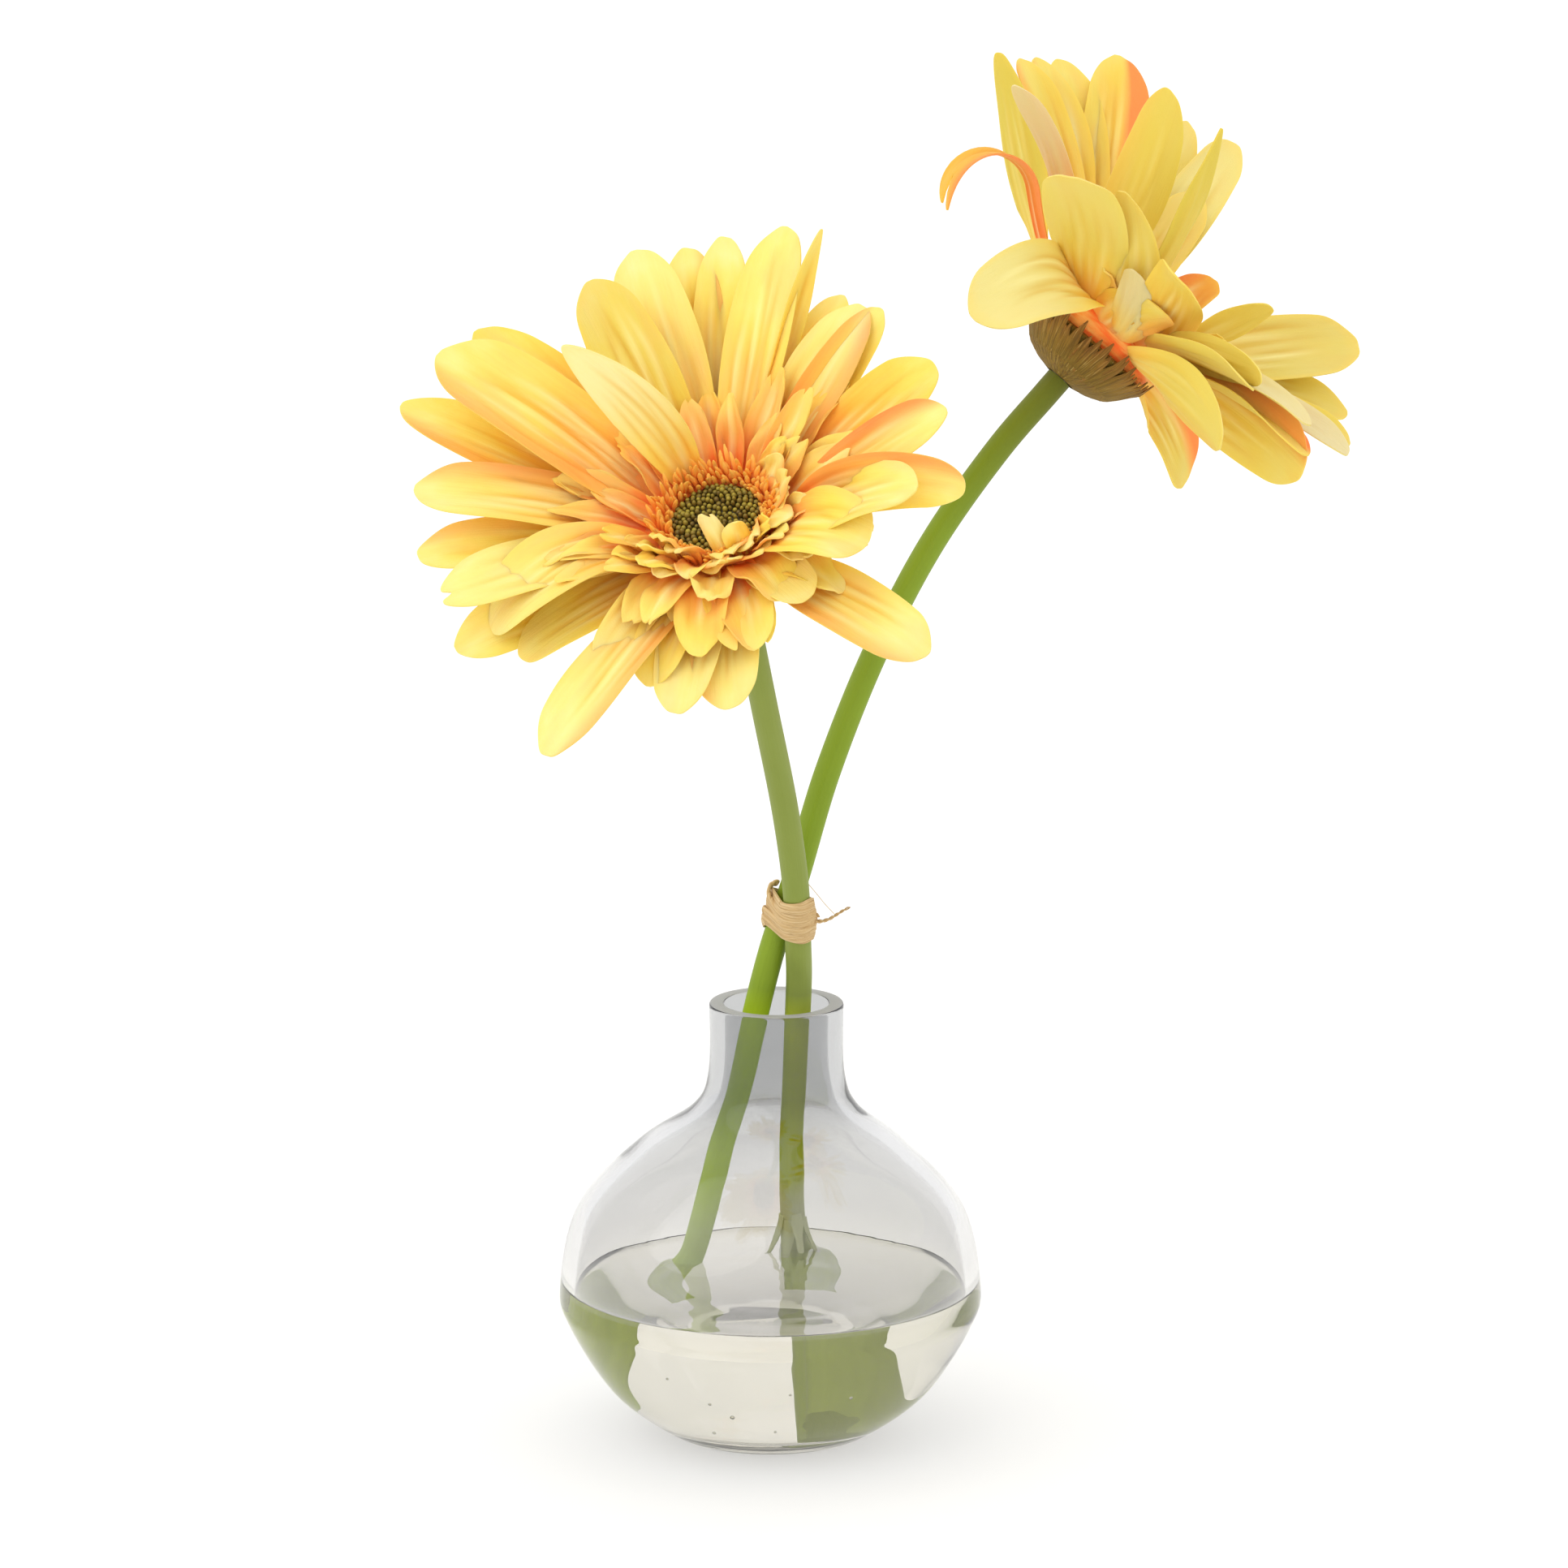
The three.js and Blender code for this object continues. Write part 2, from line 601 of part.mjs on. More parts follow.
// Materials
const plain = (color, roughness, more = {}) => new THREE.MeshStandardMaterial({
  color, roughness, metalness: 0, ...more,
});
const glass = plain('#dfe3e3', 0.05, { transparent: true, opacity: 0.35 });
const water = plain('#ecebe2', 0.03, { transparent: true, opacity: 0.4 });
const stemGreenA = plain('#8a9c46', 0.55);
const stemGreenB = plain('#7c9f2c', 0.55);
const raffia = plain('#e0bd8a', 0.8);
const petalYellow = plain('#fbe36a', 0.75);
const fringePeach = plain('#f9a95a', 0.75);
const discOlive = plain('#5d5a20', 0.7);
const calyxOlive = plain('#7e6628', 0.7);

function named(name, geometry, material) {
  const mesh = new THREE.Mesh(geometry, material);
  mesh.name = name;
  return mesh;
}

function headGroup(head) {
  const axis = new THREE.Vector3(...head.axis).normalize();
  const right = new THREE.Vector3(1, 0, 0).addScaledVector(axis, -axis.x).normalize();
  const away = axis.clone().cross(right);
  const group = new THREE.Group();
  group.position.set(...head.centre);
  group.setRotationFromMatrix(new THREE.Matrix4().makeBasis(right, away, axis));
  group.add(
    named(`${head.name}_petals`, geometryFrom(petalsSolid(head)), petalYellow),
    named(`${head.name}_fringe`, fringeGeometry(), fringePeach),
    named(`${head.name}_disc`, discGeometry(), discOlive),
    named(`${head.name}_calyx`, calyxGeometry(), calyxOlive),
  );
  return group;
}

const stemRooms = [STEM_A, STEM_B].map((stem) => solidOf(stemGeometry(stem, GAP)));

const gerberas = new THREE.Group();
gerberas.add(
  named('vase', vaseGeometry(), glass),
  named('water', geometryFrom(waterSolid(stemRooms)), water),
  named('stem_a', stemGeometry(STEM_A), stemGreenA),
  named('stem_b', stemGeometry(STEM_B), stemGreenB),
  named('raffia_tie', geometryFrom(tieSolid(stemRooms)), raffia),
  headGroup(HEAD_A),
  headGroup(HEAD_B),
);

export default gerberas;
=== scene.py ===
"""Two fabric gerberas in a round glass vase of water, tied together with raffia.

Shapes are worked out in millimetres in the frame's axes, and turned into metres where a mesh is made.
"""

import math
from types import SimpleNamespace

import bpy
import numpy as np
from mathutils import Matrix, Vector


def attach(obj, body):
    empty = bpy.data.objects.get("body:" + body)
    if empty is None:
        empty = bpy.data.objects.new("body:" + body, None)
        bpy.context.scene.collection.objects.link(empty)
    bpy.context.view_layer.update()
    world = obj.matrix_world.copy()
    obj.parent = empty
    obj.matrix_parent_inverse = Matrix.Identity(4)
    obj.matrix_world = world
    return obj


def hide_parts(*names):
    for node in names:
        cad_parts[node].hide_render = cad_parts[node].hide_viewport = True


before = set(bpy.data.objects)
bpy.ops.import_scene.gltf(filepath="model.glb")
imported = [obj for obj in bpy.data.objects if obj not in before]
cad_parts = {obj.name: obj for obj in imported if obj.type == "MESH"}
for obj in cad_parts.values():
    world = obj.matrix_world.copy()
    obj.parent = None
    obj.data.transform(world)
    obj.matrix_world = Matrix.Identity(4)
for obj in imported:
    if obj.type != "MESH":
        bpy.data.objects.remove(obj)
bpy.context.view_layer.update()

MM = 0.001

# Camera: a long lens that looks slightly down, as in the photograph
PHOTO_SIDE = 1932
FOCAL_PIXELS = 8500
SENSOR = 36
CAMERA_DISTANCE = 1445
CAMERA_DOWN = math.radians(12.1)
CAMERA_AIM = Vector((2.9, 0, 141))

# Vase and water
VASE_OUTLINE = [
    (17.6, 0), (23.7, 2.3), (34.5, 11), (43.2, 25), (44.7, 33), (41, 49),
    (28.9, 62.5), (17.8, 71), (14.4, 79), (14.2, 94),
]
VASE_SIDES = 160
VASE_STEPS = 90
VASE_WALL = 3.2
VASE_FLOOR = 6
NECK_SHIFT = 1.3
NECK_SHIFT_FROM = 58
NECK_SHIFT_TO = 76
RIM_RADIUS, RIM_HEIGHT = VASE_OUTLINE[-1]
RIM_ROUNDING = 0.5
RIM_GROUND_ABOVE = 93.9
PUNT = [(0, 1.1), (6, 0.95), (10, 0.55), (13, 0.15), (15, 0)]
WATER_LEVEL = 33
WATER_INTO_WALL = 0.35
WATER_INTO_FLOOR = 0.3
SURFACE_DIP = 0.4
MENISCUS = [(0, 0.45), (0.4, 0.3), (0.9, 0.1), (1.6, -0.12), (3, -0.3)]
RIPPLE = 0.07
BUBBLES = [
    (-12, -32, 17, 0.35), (-7.5, -31, 14, 0.5), (-11, -24, 9.5, 0.4), (4, -35, 20, 0.3),
    (-20, -28, 22, 0.3), (16, -30, 18, 0.35), (1, -28, 10.5, 0.3),
]

# Stems
STEM_RADIUS = 2.75
STEM_SIDES = 40
STEM_STEPS = 220
STRAIGHT_FROM = 23.5
STEM_TOP = -18.9
SPLAY_FROM = 36
SPLAY_FULL = 25
SPLAY_TIP = 0.35
ALONG_AT_RIM = 0.4
STEM_A = SimpleNamespace(
    splay=2.2,
    frayed=(205, 250, 290, 345),
    route=[
        (8.4, 17, 10), (9, 23.2, 16.5), (8, 28.8, 25), (5.4, 30.8, 33), (4.8, 28, 40), (4.8, 20.6, 52),
        (4.9, 15.2, 60), (5, 10.8, 67), (5.2, 7.2, 73.5), (5.4, 5, 79.5), (5.7, 3, 88),
        (6.1, 0.3, 99.6), (5.9, -3.6, 107), (5.3, -9, 121), (3.2, -17.5, 139), (-1.1, -33, 164),
    ],
)
STEM_B = SimpleNamespace(
    splay=1.45,
    frayed=(),
    route=[
        (-19, 10.3, 9.6), (-23, 15.2, 17), (-20.8, 18.3, 27), (-17.2, 17, 34), (-14.3, 12.8, 44),
        (-11.2, 7.8, 57), (-9, 4.8, 66), (-7.3, 2.9, 73), (-5.8, 2, 79), (-4, 2.2, 87),
        (0.4, 1.6, 105), (5.4, -0.2, 121), (12.1, -1, 144), (21.3, -1.4, 168), (33.9, -2, 193),
        (47.6, -3.4, 213.1),
    ],
)

# Flower heads, each in its own frame: Z along the axis, origin at the middle of the disc
DISC_RADIUS = 9.3
DISC_PROFILE = [(0, -1.9), (9.3, -1.9), (9.3, -1.2), (8.4, -0.9), (4, -0.7), (0, -1.1)]
BUDS = 200
BUDS_REACH = 8.9
BUD_PROFILE = [(0.75, -0.5), (1, 0.1), (0.92, 0.5), (0.66, 0.82), (0.3, 0.97), (0.02, 1)]
GOLDEN_ANGLE = math.radians(137.508)
FRINGE_FOOT = -1.9
FRINGE_BASE = [(9.5, -2.2), (12.6, -2.2), (12.6, -1.5), (9.5, -1.4)]
FRINGE_ROWS = [(9.7, 44, 2.6), (10.35, 46, 3.4), (11, 48, 4.1), (11.65, 50, 4.6), (12.2, 52, 5)]
HUB_PROFILE = [
    (0, -14.5), (7, -14.5), (10, -13.3), (11.8, -11.1), (13.3, -9.3), (14.5, -7.4), (14.6, -5),
    (13.7, -3.4), (12.9, -2.4), (9.5, -2.3), (0, -2.4),
]
CALYX_OUTSIDE = [(2.8, -18.6), (6.5, -17.7), (9.6, -16.3), (11.7, -14), (13.3, -11.8), (14.6, -10.2)]
CALYX_WALL = 1.3
BRACT_ROWS = [(0.4, 26), (2.6, 32), (4.8, 38), (6.6, 44), (8, 46)]
BRACT_THICKNESS = 0.2
FLORET_TURNS = [(1, 0), (0.8, 11), (0.62, 22), (0.46, 34), (0.34, 46)]
PETAL_THICKNESS = 0.42
FLAT_ROOT_RADIUS = 9
STEEP_ROOT_RADIUS = 12.9

# Stage
FLOOR_REACH = 4
WORLD_STRENGTH = 1.1
SUN_ENERGY = 0.5
SUN_WIDTH = math.radians(60)
SUN_WAY = Vector((0.62, 0.5, -0.85))


# Small helpers


def srgb(red, green, blue):
    """A colour given in screen values from 0 to 255, as the linear colour that shaders take."""

    def linear(value):
        share = value / 255
        return share / 12.92 if share <= 0.04045 else ((share + 0.055) / 1.055) ** 2.4

    return linear(red), linear(green), linear(blue), 1


def smoothstep(x, low, high):
    share = np.clip((x - low) / (high - low), 0, 1)
    return share * share * (3 - 2 * share)


def unit(vectors):
    return vectors / np.maximum(np.linalg.norm(vectors, axis=-1, keepdims=True), 1e-9)


def polar(radius, angle, height):
    """Points at these distances from the Z axis, angles round it and heights."""
    return np.stack(np.broadcast_arrays(radius * np.cos(angle), radius * np.sin(angle), height), -1)


def cloth_at(side, run, seed=0):
    """Places on unrolled cloth: across it, along it and a number that sets one cloth apart."""
    return np.stack(np.broadcast_arrays(side, run, seed), -1)


def lengths_along(points):
    """How far along a path each of its points lies."""
    return np.concatenate([[0], np.cumsum(np.linalg.norm(np.diff(points, axis=0), axis=1))])


def staggered(k, row, count):
    """The angle of place k in a row of count places. Odd rows stand half a place further round."""
    return 2 * math.pi * (k + 0.5 * (row % 2)) / count


def linked(name, data):
    """A new object with this data, in the scene."""
    made = bpy.data.objects.new(name, data)
    bpy.context.scene.collection.objects.link(made)
    return made


class Shape:
    """The points, faces and point values of one piece, in millimetres."""

    def __init__(self, matrix=None):
        self.matrix = matrix or Matrix.Identity(4)
        self.points = []
        self.faces = []
        self.values = {}
        self.count = 0

    def add(self, points, faces, **values):
        """Adds a form. Values that are fewer than its points repeat: one value for all of them,
        or the values of a blade's top sheet for its under sheet too."""
        points = np.reshape(points, (-1, 3))
        self.faces += [tuple(i + self.count for i in face) for face in faces]
        for name, value in values.items():
            size = (len(points), 3) if name == "cloth" else len(points)
            self.values.setdefault(name, []).append(np.resize(value, size).astype(float))
        self.points.append(points)
        self.count += len(points)

    def piece(self, name, look, node, sharp=50):
        turn = np.array(self.matrix, float)
        points = np.concatenate(self.points) @ turn[:3, :3].T + turn[:3, 3]
        mesh = bpy.data.meshes.new(name)
        mesh.from_pydata((points * MM).tolist(), [], self.faces)
        for value_name, parts in self.values.items():
            data = np.concatenate(parts).astype(np.float32)
            kind = "FLOAT_VECTOR" if data.ndim == 2 else "FLOAT"
            attribute = mesh.attributes.new(value_name, kind, "POINT")
            attribute.data.foreach_set("vector" if data.ndim == 2 else "value", data.ravel())
        mesh.polygons.foreach_set("use_smooth", [True] * len(mesh.polygons))
        mesh.set_sharp_from_angle(angle=math.radians(sharp))
        mesh.materials.append(look.material)
        made = linked(name, mesh)
        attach(made, "root")
        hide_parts(node)


def blade(middle, thickness):
    """Closes a grid of points into a thin solid: top sheet, under sheet and the edges between them."""
    rows, columns = middle.shape[:2]
    normal = unit(np.cross(np.gradient(middle, axis=0), np.gradient(middle, axis=1)))
    half = normal * np.broadcast_to(thickness, (rows, columns))[..., None] / 2
    points = np.concatenate([(middle + half).reshape(-1, 3), (middle - half).reshape(-1, 3)])
    under = rows * columns
    faces = []
    for left in range(0, under - columns, columns):
        right = left + columns - 1
        for a in range(left, right):
            b = a + columns
            faces.append((a, b, b + 1, a + 1))
            faces.append((under + a, under + a + 1, under + b + 1, under + b))
        faces.append((left, under + left, under + left + columns, left + columns))
        faces.append((right, right + columns, under + right + columns, under + right))
    for root in range(columns - 1):
        tip = under - columns + root
        faces.append((root, root + 1, under + root + 1, under + root))
        faces.append((tip, under + tip, under + tip + 1, tip + 1))
    return points, faces


def rings_to_faces(rings, sides):
    faces = []
    for low in range(0, (rings - 1) * sides, sides):
        high = low + sides
        for j in range(sides):
            k = (j + 1) % sides
            faces.append((low + j, low + k, high + k, high + j))
    faces.append(tuple(range(sides))[::-1])
    faces.append(tuple(range((rings - 1) * sides, rings * sides)))
    return faces


def tube(path, radius):
    """A closed tube. Its radius is one number, one for each point, or a grid with one for each side."""
    path = np.asarray(path, float)
    radius = np.asarray(radius, float)
    if radius.ndim < 2:
        radius = np.broadcast_to(radius.reshape(-1, 1), (len(path), 8))
    sides = radius.shape[1]
    along = unit(np.gradient(path, axis=0))
    across = np.zeros_like(path)
    across[0] = unit(np.cross(along[0], (0.3, 1, 0.2)))
    for i in range(1, len(path)):
        across[i] = unit(across[i - 1] - along[i] * (across[i - 1] @ along[i]))
    other = np.cross(along, across)
    angle = np.linspace(0, 2 * np.pi, sides, endpoint=False)[None, :, None]
    ring = across[:, None] * np.cos(angle) + other[:, None] * np.sin(angle)
    points = path[:, None] + ring * radius[..., None]
    return points.reshape(-1, 3), rings_to_faces(len(path), sides)


def turned(profile, sides):
    """Rings of a shape turned round Z, from bottom to top. Ends on the axis become a small flat."""
    angle = np.linspace(0, 2 * np.pi, sides, endpoint=False)
    rings = [polar(max(radius, 0.01), angle, height) for radius, height in profile]
    return np.concatenate(rings), rings_to_faces(len(profile), sides)


def cubic(start, end, leave, arrive, t):
    """The point at t on the curve from start to end that leaves and arrives at these slopes."""
    square = 3 * (end - start) - 2 * leave - arrive
    cube = 2 * (start - end) + leave + arrive
    return start + leave * t + square * t**2 + cube * t**3


def smooth_route(points, steps):
    """Even steps along a centripetal Catmull-Rom curve through the points."""
    points = [np.array(point, float) for point in points]
    points = [2 * points[0] - points[1], *points, 2 * points[-1] - points[-2]]
    fine = []
    for a, b, c, d in zip(points, points[1:], points[2:], points[3:], strict=False):
        before, between, after = (math.sqrt(np.linalg.norm(q - p)) for p, q in ((a, b), (b, c), (c, d)))
        leave = ((b - a) / before - (c - a) / (before + between) + (c - b) / between) * between
        arrive = ((c - b) / between - (d - b) / (between + after) + (d - c) / after) * between
        fine += [cubic(b, c, leave, arrive, t) for t in np.linspace(0, 1, 24, endpoint=False)]
    fine = np.array([*fine, points[-2]])
    run = lengths_along(fine)
    even = np.linspace(0, run[-1], steps + 1)
    return np.stack([np.interp(even, run, fine[:, k]) for k in range(3)], -1)


# Materials


class Look:
    """A material with a Principled shader, and short calls that add nodes before it."""

    def __init__(self, name, **shader):
        self.material = bpy.data.materials.new(name)
        self.material.use_nodes = True
        self.tree = self.material.node_tree
        self.shader = self.tree.nodes["Principled BSDF"]
        for socket, value in shader.items():
            self.shader.inputs[socket.replace("_", " ")].default_value = value

    def node(self, kind, inputs=None, **settings):
        made = self.tree.nodes.new("ShaderNode" + kind)
        for name, value in settings.items():
            setattr(made, name, value)
        for name, value in (inputs or {}).items():
            if isinstance(value, bpy.types.NodeSocket):
                self.tree.links.new(value, made.inputs[name])
            else:
                made.inputs[name].default_value = value
        return made

    def value(self, name, output="Fac"):
        return self.node("Attribute", attribute_name=name).outputs[output]

    def place(self):
        return self.node("TexCoord").outputs["Object"]

    def scaled(self, vector, scale):
        return self.node("Mapping", {"Vector": vector, "Scale": scale}).outputs["Vector"]

    def noise(self, scale, detail=3, roughness=0.5, vector=None):
        vector = vector or self.place()
        inputs = {"Vector": vector, "Scale": scale, "Detail": detail, "Roughness": roughness}
        return self.node("TexNoise", inputs).outputs["Fac"]

    def maths(self, operation, a, b):
        return self.node("Math", {0: a, 1: b}, operation=operation).outputs[0]

    def times(self, a, b):
        return self.maths("MULTIPLY", a, b)

    def ramp(self, factor, *stops):
        made = self.node("ValToRGB", {"Fac": factor})
        row = made.color_ramp.elements
        while len(row) < len(stops):
            row.new(1)
        for element, (position, *colour) in zip(row, stops, strict=True):
            element.position = position
            element.color = srgb(*colour)
        return made.outputs["Color"]

    def mix(self, factor, colour, tint, blend="MIX"):
        tint = srgb(*tint) if isinstance(tint, tuple) else tint
        inputs = {0: factor, 6: colour, 7: tint}
        return self.node("Mix", inputs, data_type="RGBA", blend_type=blend).outputs[2]

    def bump(self, height, strength, distance):
        inputs = {"Height": height, "Strength": strength, "Distance": distance}
        for link in self.shader.inputs["Normal"].links:
            inputs["Normal"] = link.from_socket
        self.into("Normal", self.node("Bump", inputs).outputs["Normal"])

    def streaks(self, scale, detail, roughness=0.5):
        """Noise on the unrolled cloth, drawn out along it."""
        cloth = self.scaled(self.value("cloth", "Vector"), (*scale, 1))
        return self.noise(1, detail, roughness, cloth)

    def into(self, socket, source):
        self.tree.links.new(source, self.shader.inputs[socket])


def petal_cloth():
    """Pressed petal cloth: orange at the root, through gold and yellow to a pale lemon tip."""
    look = Look(
        "petal_cloth", Roughness=0.75, Specular_IOR_Level=0.25,
        Subsurface_Weight=0.3, Subsurface_Radius=(1, 0.9, 0.6), Subsurface_Scale=0.001,
    )
    stain = look.streaks((0.12, 0.06), 3)
    streak = look.streaks((1.1, 0.04), 4, 0.6)
    uneven = look.times(look.maths("SUBTRACT", stain, 0.5), 0.7)
    along = look.maths("ADD", look.value("along"), uneven)
    lemon = look.ramp(
        along, (0, 254, 136, 52), (0.16, 255, 166, 72), (0.36, 254, 202, 82), (0.6, 252, 219, 90),
        (0.82, 251, 226, 116), (1, 252, 230, 148),
    )
    golden = look.ramp(
        along, (0, 250, 102, 38), (0.25, 254, 150, 58), (0.55, 254, 184, 66), (0.85, 253, 212, 88),
        (1, 250, 228, 116),
    )
    uneven = look.times(look.maths("SUBTRACT", streak, 0.5), 0.6)
    colour = look.mix(look.maths("ADD", look.value("gold"), uneven), lemon, golden)
    patch = look.ramp(look.streaks((0.16, 0.05), 2), (0.5, 0, 0, 0), (0.66, 255, 255, 255))
    colour = look.mix(look.times(patch, 0.45), colour, (255, 200, 112))
    for name, share, tint, blend in (
        ("pale", 0.8, (247, 238, 176), "MIX"),
        # The lime mix goes to a dark olive. It is partly the cloth's own olive tint and partly painted
        # shade, which darkens all of head B.
        ("lime", 0.8, (204, 182, 66), "MIX"),
        # The pale ridge lines are a painted highlight and the darker grooves are painted shade, as if
        # light caught the pressed pleats.
        ("ridge", 0.5, (255, 248, 182), "MIX"),
        ("groove", 0.75, (240, 212, 140), "MULTIPLY"),
        ("rim", 0.25, (253, 208, 84), "MIX"),
    ):
        colour = look.mix(look.times(look.value(name), share), colour, tint, blend)
    blushed = look.times(look.value("blush"), look.maths("ADD", stain, 0.5))
    colour = look.mix(blushed, colour, (254, 146, 76))
    colour = look.mix(look.value("pink"), colour, (220, 206, 158))
    colour = look.mix(look.times(look.value("under"), 0.7), colour, (222, 200, 84))
    look.into("Base Color", colour)
    look.bump(look.streaks((3.6, 3), 2), 0.15, 0.0002)
    look.bump(streak, 0.35, 0.0005)
    return look


def fringe_cloth():
    look = Look(
        "fringe_cloth", Roughness=0.6,
        Subsurface_Weight=0.3, Subsurface_Radius=(1, 0.6, 0.25), Subsurface_Scale=0.002,
    )
    colour = look.ramp(look.value("along"), (0, 222, 88, 24), (0.4, 254, 148, 56), (1, 255, 194, 84))
    tone = look.noise(160, 2)
    look.into("Base Color", look.mix(look.times(tone, 0.4), colour, (255, 166, 66)))
    look.bump(look.noise(1500), 0.3, 0.0002)
    return look


def disc_buds():
    look = Look("disc_buds", Roughness=0.5)
    colour = look.ramp(look.value("along"), (0, 50, 26, 8), (0.4, 104, 74, 18), (1, 184, 164, 50))
    tone = look.noise(300, 2)
    look.into("Base Color", look.mix(look.times(tone, 0.35), colour, (104, 108, 30)))
    look.bump(look.noise(2200), 0.25, 0.0002)
    return look


def calyx_bracts():
    """Fibrous olive brown, with darker and paler fibres and olive patches."""
    look = Look("calyx_bracts", Roughness=0.7, Specular_IOR_Level=0.2)
    fibre = look.streaks((3.4, 0.12), 4, 0.6)
    side = look.noise(70, 2)
    colour = look.ramp(look.value("along"), (0, 124, 100, 34), (0.5, 134, 98, 34), (1, 150, 98, 42))
    olive = look.ramp(side, (0.42, 0, 0, 0), (0.62, 150, 150, 150))
    dark = look.ramp(fibre, (0.42, 0, 0, 0), (0.6, 210, 210, 210))
    pale = look.ramp(fibre, (0.32, 170, 170, 170), (0.38, 0, 0, 0))
    colour = look.mix(olive, colour, (176, 142, 58))
    colour = look.mix(dark, colour, (86, 62, 18))
    colour = look.mix(pale, colour, (214, 184, 116))
    look.into("Base Color", colour)
    look.bump(fibre, 0.6, 0.0005)
    return look


def stem_skin(name, foot, cut, low, middle, high, shade):
    """A stem's satin skin with a fine lengthwise grain. The colours run from its foot to its head."""
    look = Look(name, Roughness=0.5, Specular_IOR_Level=0.2)
    along = look.value("along")
    grain = look.streaks((1.6, 0.03), 4, 0.6)
    # Painted light: the foot, the cut end and the low stretch inside the vase get much lighter,
    # brighter colours than the stem above. They stand in for light that the glass and water keep from
    # them. The pale cut end is partly its own colour.
    colour = look.ramp(
        along, (0.09, *foot), (0.12, *cut), (0.16, *cut), (0.21, *low), (0.37, *low),
        (0.41, *middle), (0.84, *middle), (1, *high),
    )
    # Painted light: the darker mottling is weaker inside the vase, to keep that stretch light.
    mottled = look.times(look.ramp(along, (0.25, 110, 110, 110), (0.5, 255, 255, 255)), 0.45)
    colour = look.mix(look.times(look.streaks((0.12, 0.05), 2), mottled), colour, shade)
    colour = look.mix(look.times(grain, 0.2), colour, shade)
    look.into("Base Color", colour)
    look.bump(grain, 0.25, 0.0004)
    return look


def muted_skin():
    return stem_skin(
        # foot, cut and low are painted lighter than the stem above: painted light inside the vase.
        "muted_stem", foot=(226, 244, 120), cut=(240, 244, 196), low=(208, 222, 34),
        middle=(144, 158, 78), high=(128, 138, 54), shade=(118, 130, 44),
    )


def bright_skin():
    return stem_skin(
        # foot, cut and low are painted lighter than the stem above: painted light inside the vase.
        "bright_stem", foot=(230, 252, 70), cut=(226, 248, 150), low=(204, 238, 4),
        middle=(144, 170, 46), high=(104, 102, 24), shade=(98, 118, 22),
    )


def raffia_fibre():
    look = Look("raffia_fibre", Roughness=0.75)
    fibre = look.streaks((4.5, 0.12), 4, 0.65)
    colour = look.ramp(fibre, (0.25, 150, 110, 60), (0.45, 206, 170, 114), (0.72, 240, 214, 166))
    tone = look.noise(220, 2)
    look.into("Base Color", look.mix(look.times(tone, 0.5), colour, (226, 192, 136)))
    look.bump(fibre, 0.7, 0.0006)
    return look


def vase_glass():
    """Thick clear glass with faint draw marks, greyer in the neck, and a ground rim."""
    look = Look("vase_glass", IOR=1.5, Transmission_Weight=1)
    height = look.node("SeparateXYZ", {0: look.place()}).outputs["Z"]
    colour = look.ramp(
        look.times(height, 10), (0.3, 244, 243, 240), (0.4, 231, 230, 229), (0.66, 227, 227, 227),
        (0.75, 198, 199, 200), (0.936, 198, 199, 200), (0.939, 178, 179, 176),
    )
    look.into("Base Color", colour)
    ground = look.maths("GREATER_THAN", height, RIM_GROUND_ABOVE * MM)
    look.into("Roughness", look.times(ground, 0.55))
    look.into("Transmission Weight", look.maths("SUBTRACT", 1, look.times(ground, 0.75)))
    look.bump(look.noise(45, 1, vector=look.scaled(look.place(), (1, 1, 0.35))), 0.05, 0.001)
    return look


def still_water():
    """Clear, faintly warm water, with a bright coat on its surface alone."""
    look = Look(
        "still_water", Roughness=0, IOR=1.33, Transmission_Weight=1,
        Coat_IOR=1.8, Coat_Roughness=0.02,
    )
    ripple = look.noise(60, 1)
    look.into("Base Color", look.ramp(ripple, (0, 246, 243, 234), (1, 249, 247, 240)))
    height = look.node("SeparateXYZ", {0: look.place()}).outputs["Z"]
    look.into("Coat Weight", look.maths("GREATER_THAN", height, (WATER_LEVEL - 0.7) * MM))
    look.bump(ripple, 0.04, 0.001)
    return look


# Vase and water


def outer_outline():
    """The vase's outside from its foot's edge to its rim, as a uniform Catmull-Rom curve."""
    points = np.array(VASE_OUTLINE, float)
    outline = []
    for where in np.linspace(0, len(points) - 1, VASE_STEPS + 1):
        i = min(int(where), len(points) - 2)
        a, b, c, d = (points[min(max(i + k, 0), len(points) - 1)] for k in (-1, 0, 1, 2))
        outline.append(cubic(b, c, (c - a) / 2, (d - b) / 2, where - i))
    return np.array(outline)


def inner_outline(wall, floor):
    """The outline one wall further in, cut off a little above the floor, from the middle outwards."""
    outer = outer_outline()
    along = unit(np.gradient(outer, axis=0))
    inner = outer + wall * np.stack([-along[:, 1], along[:, 0]], -1)
    inner = inner[inner[:, 1] > floor + 1.2]
    foot = inner[0, 0]
    bowl = [(foot * share, floor + 0.9 * share**6) for share in (0, 0.3, 0.6, 0.8, 0.92)]
    return np.array([*bowl, *inner])


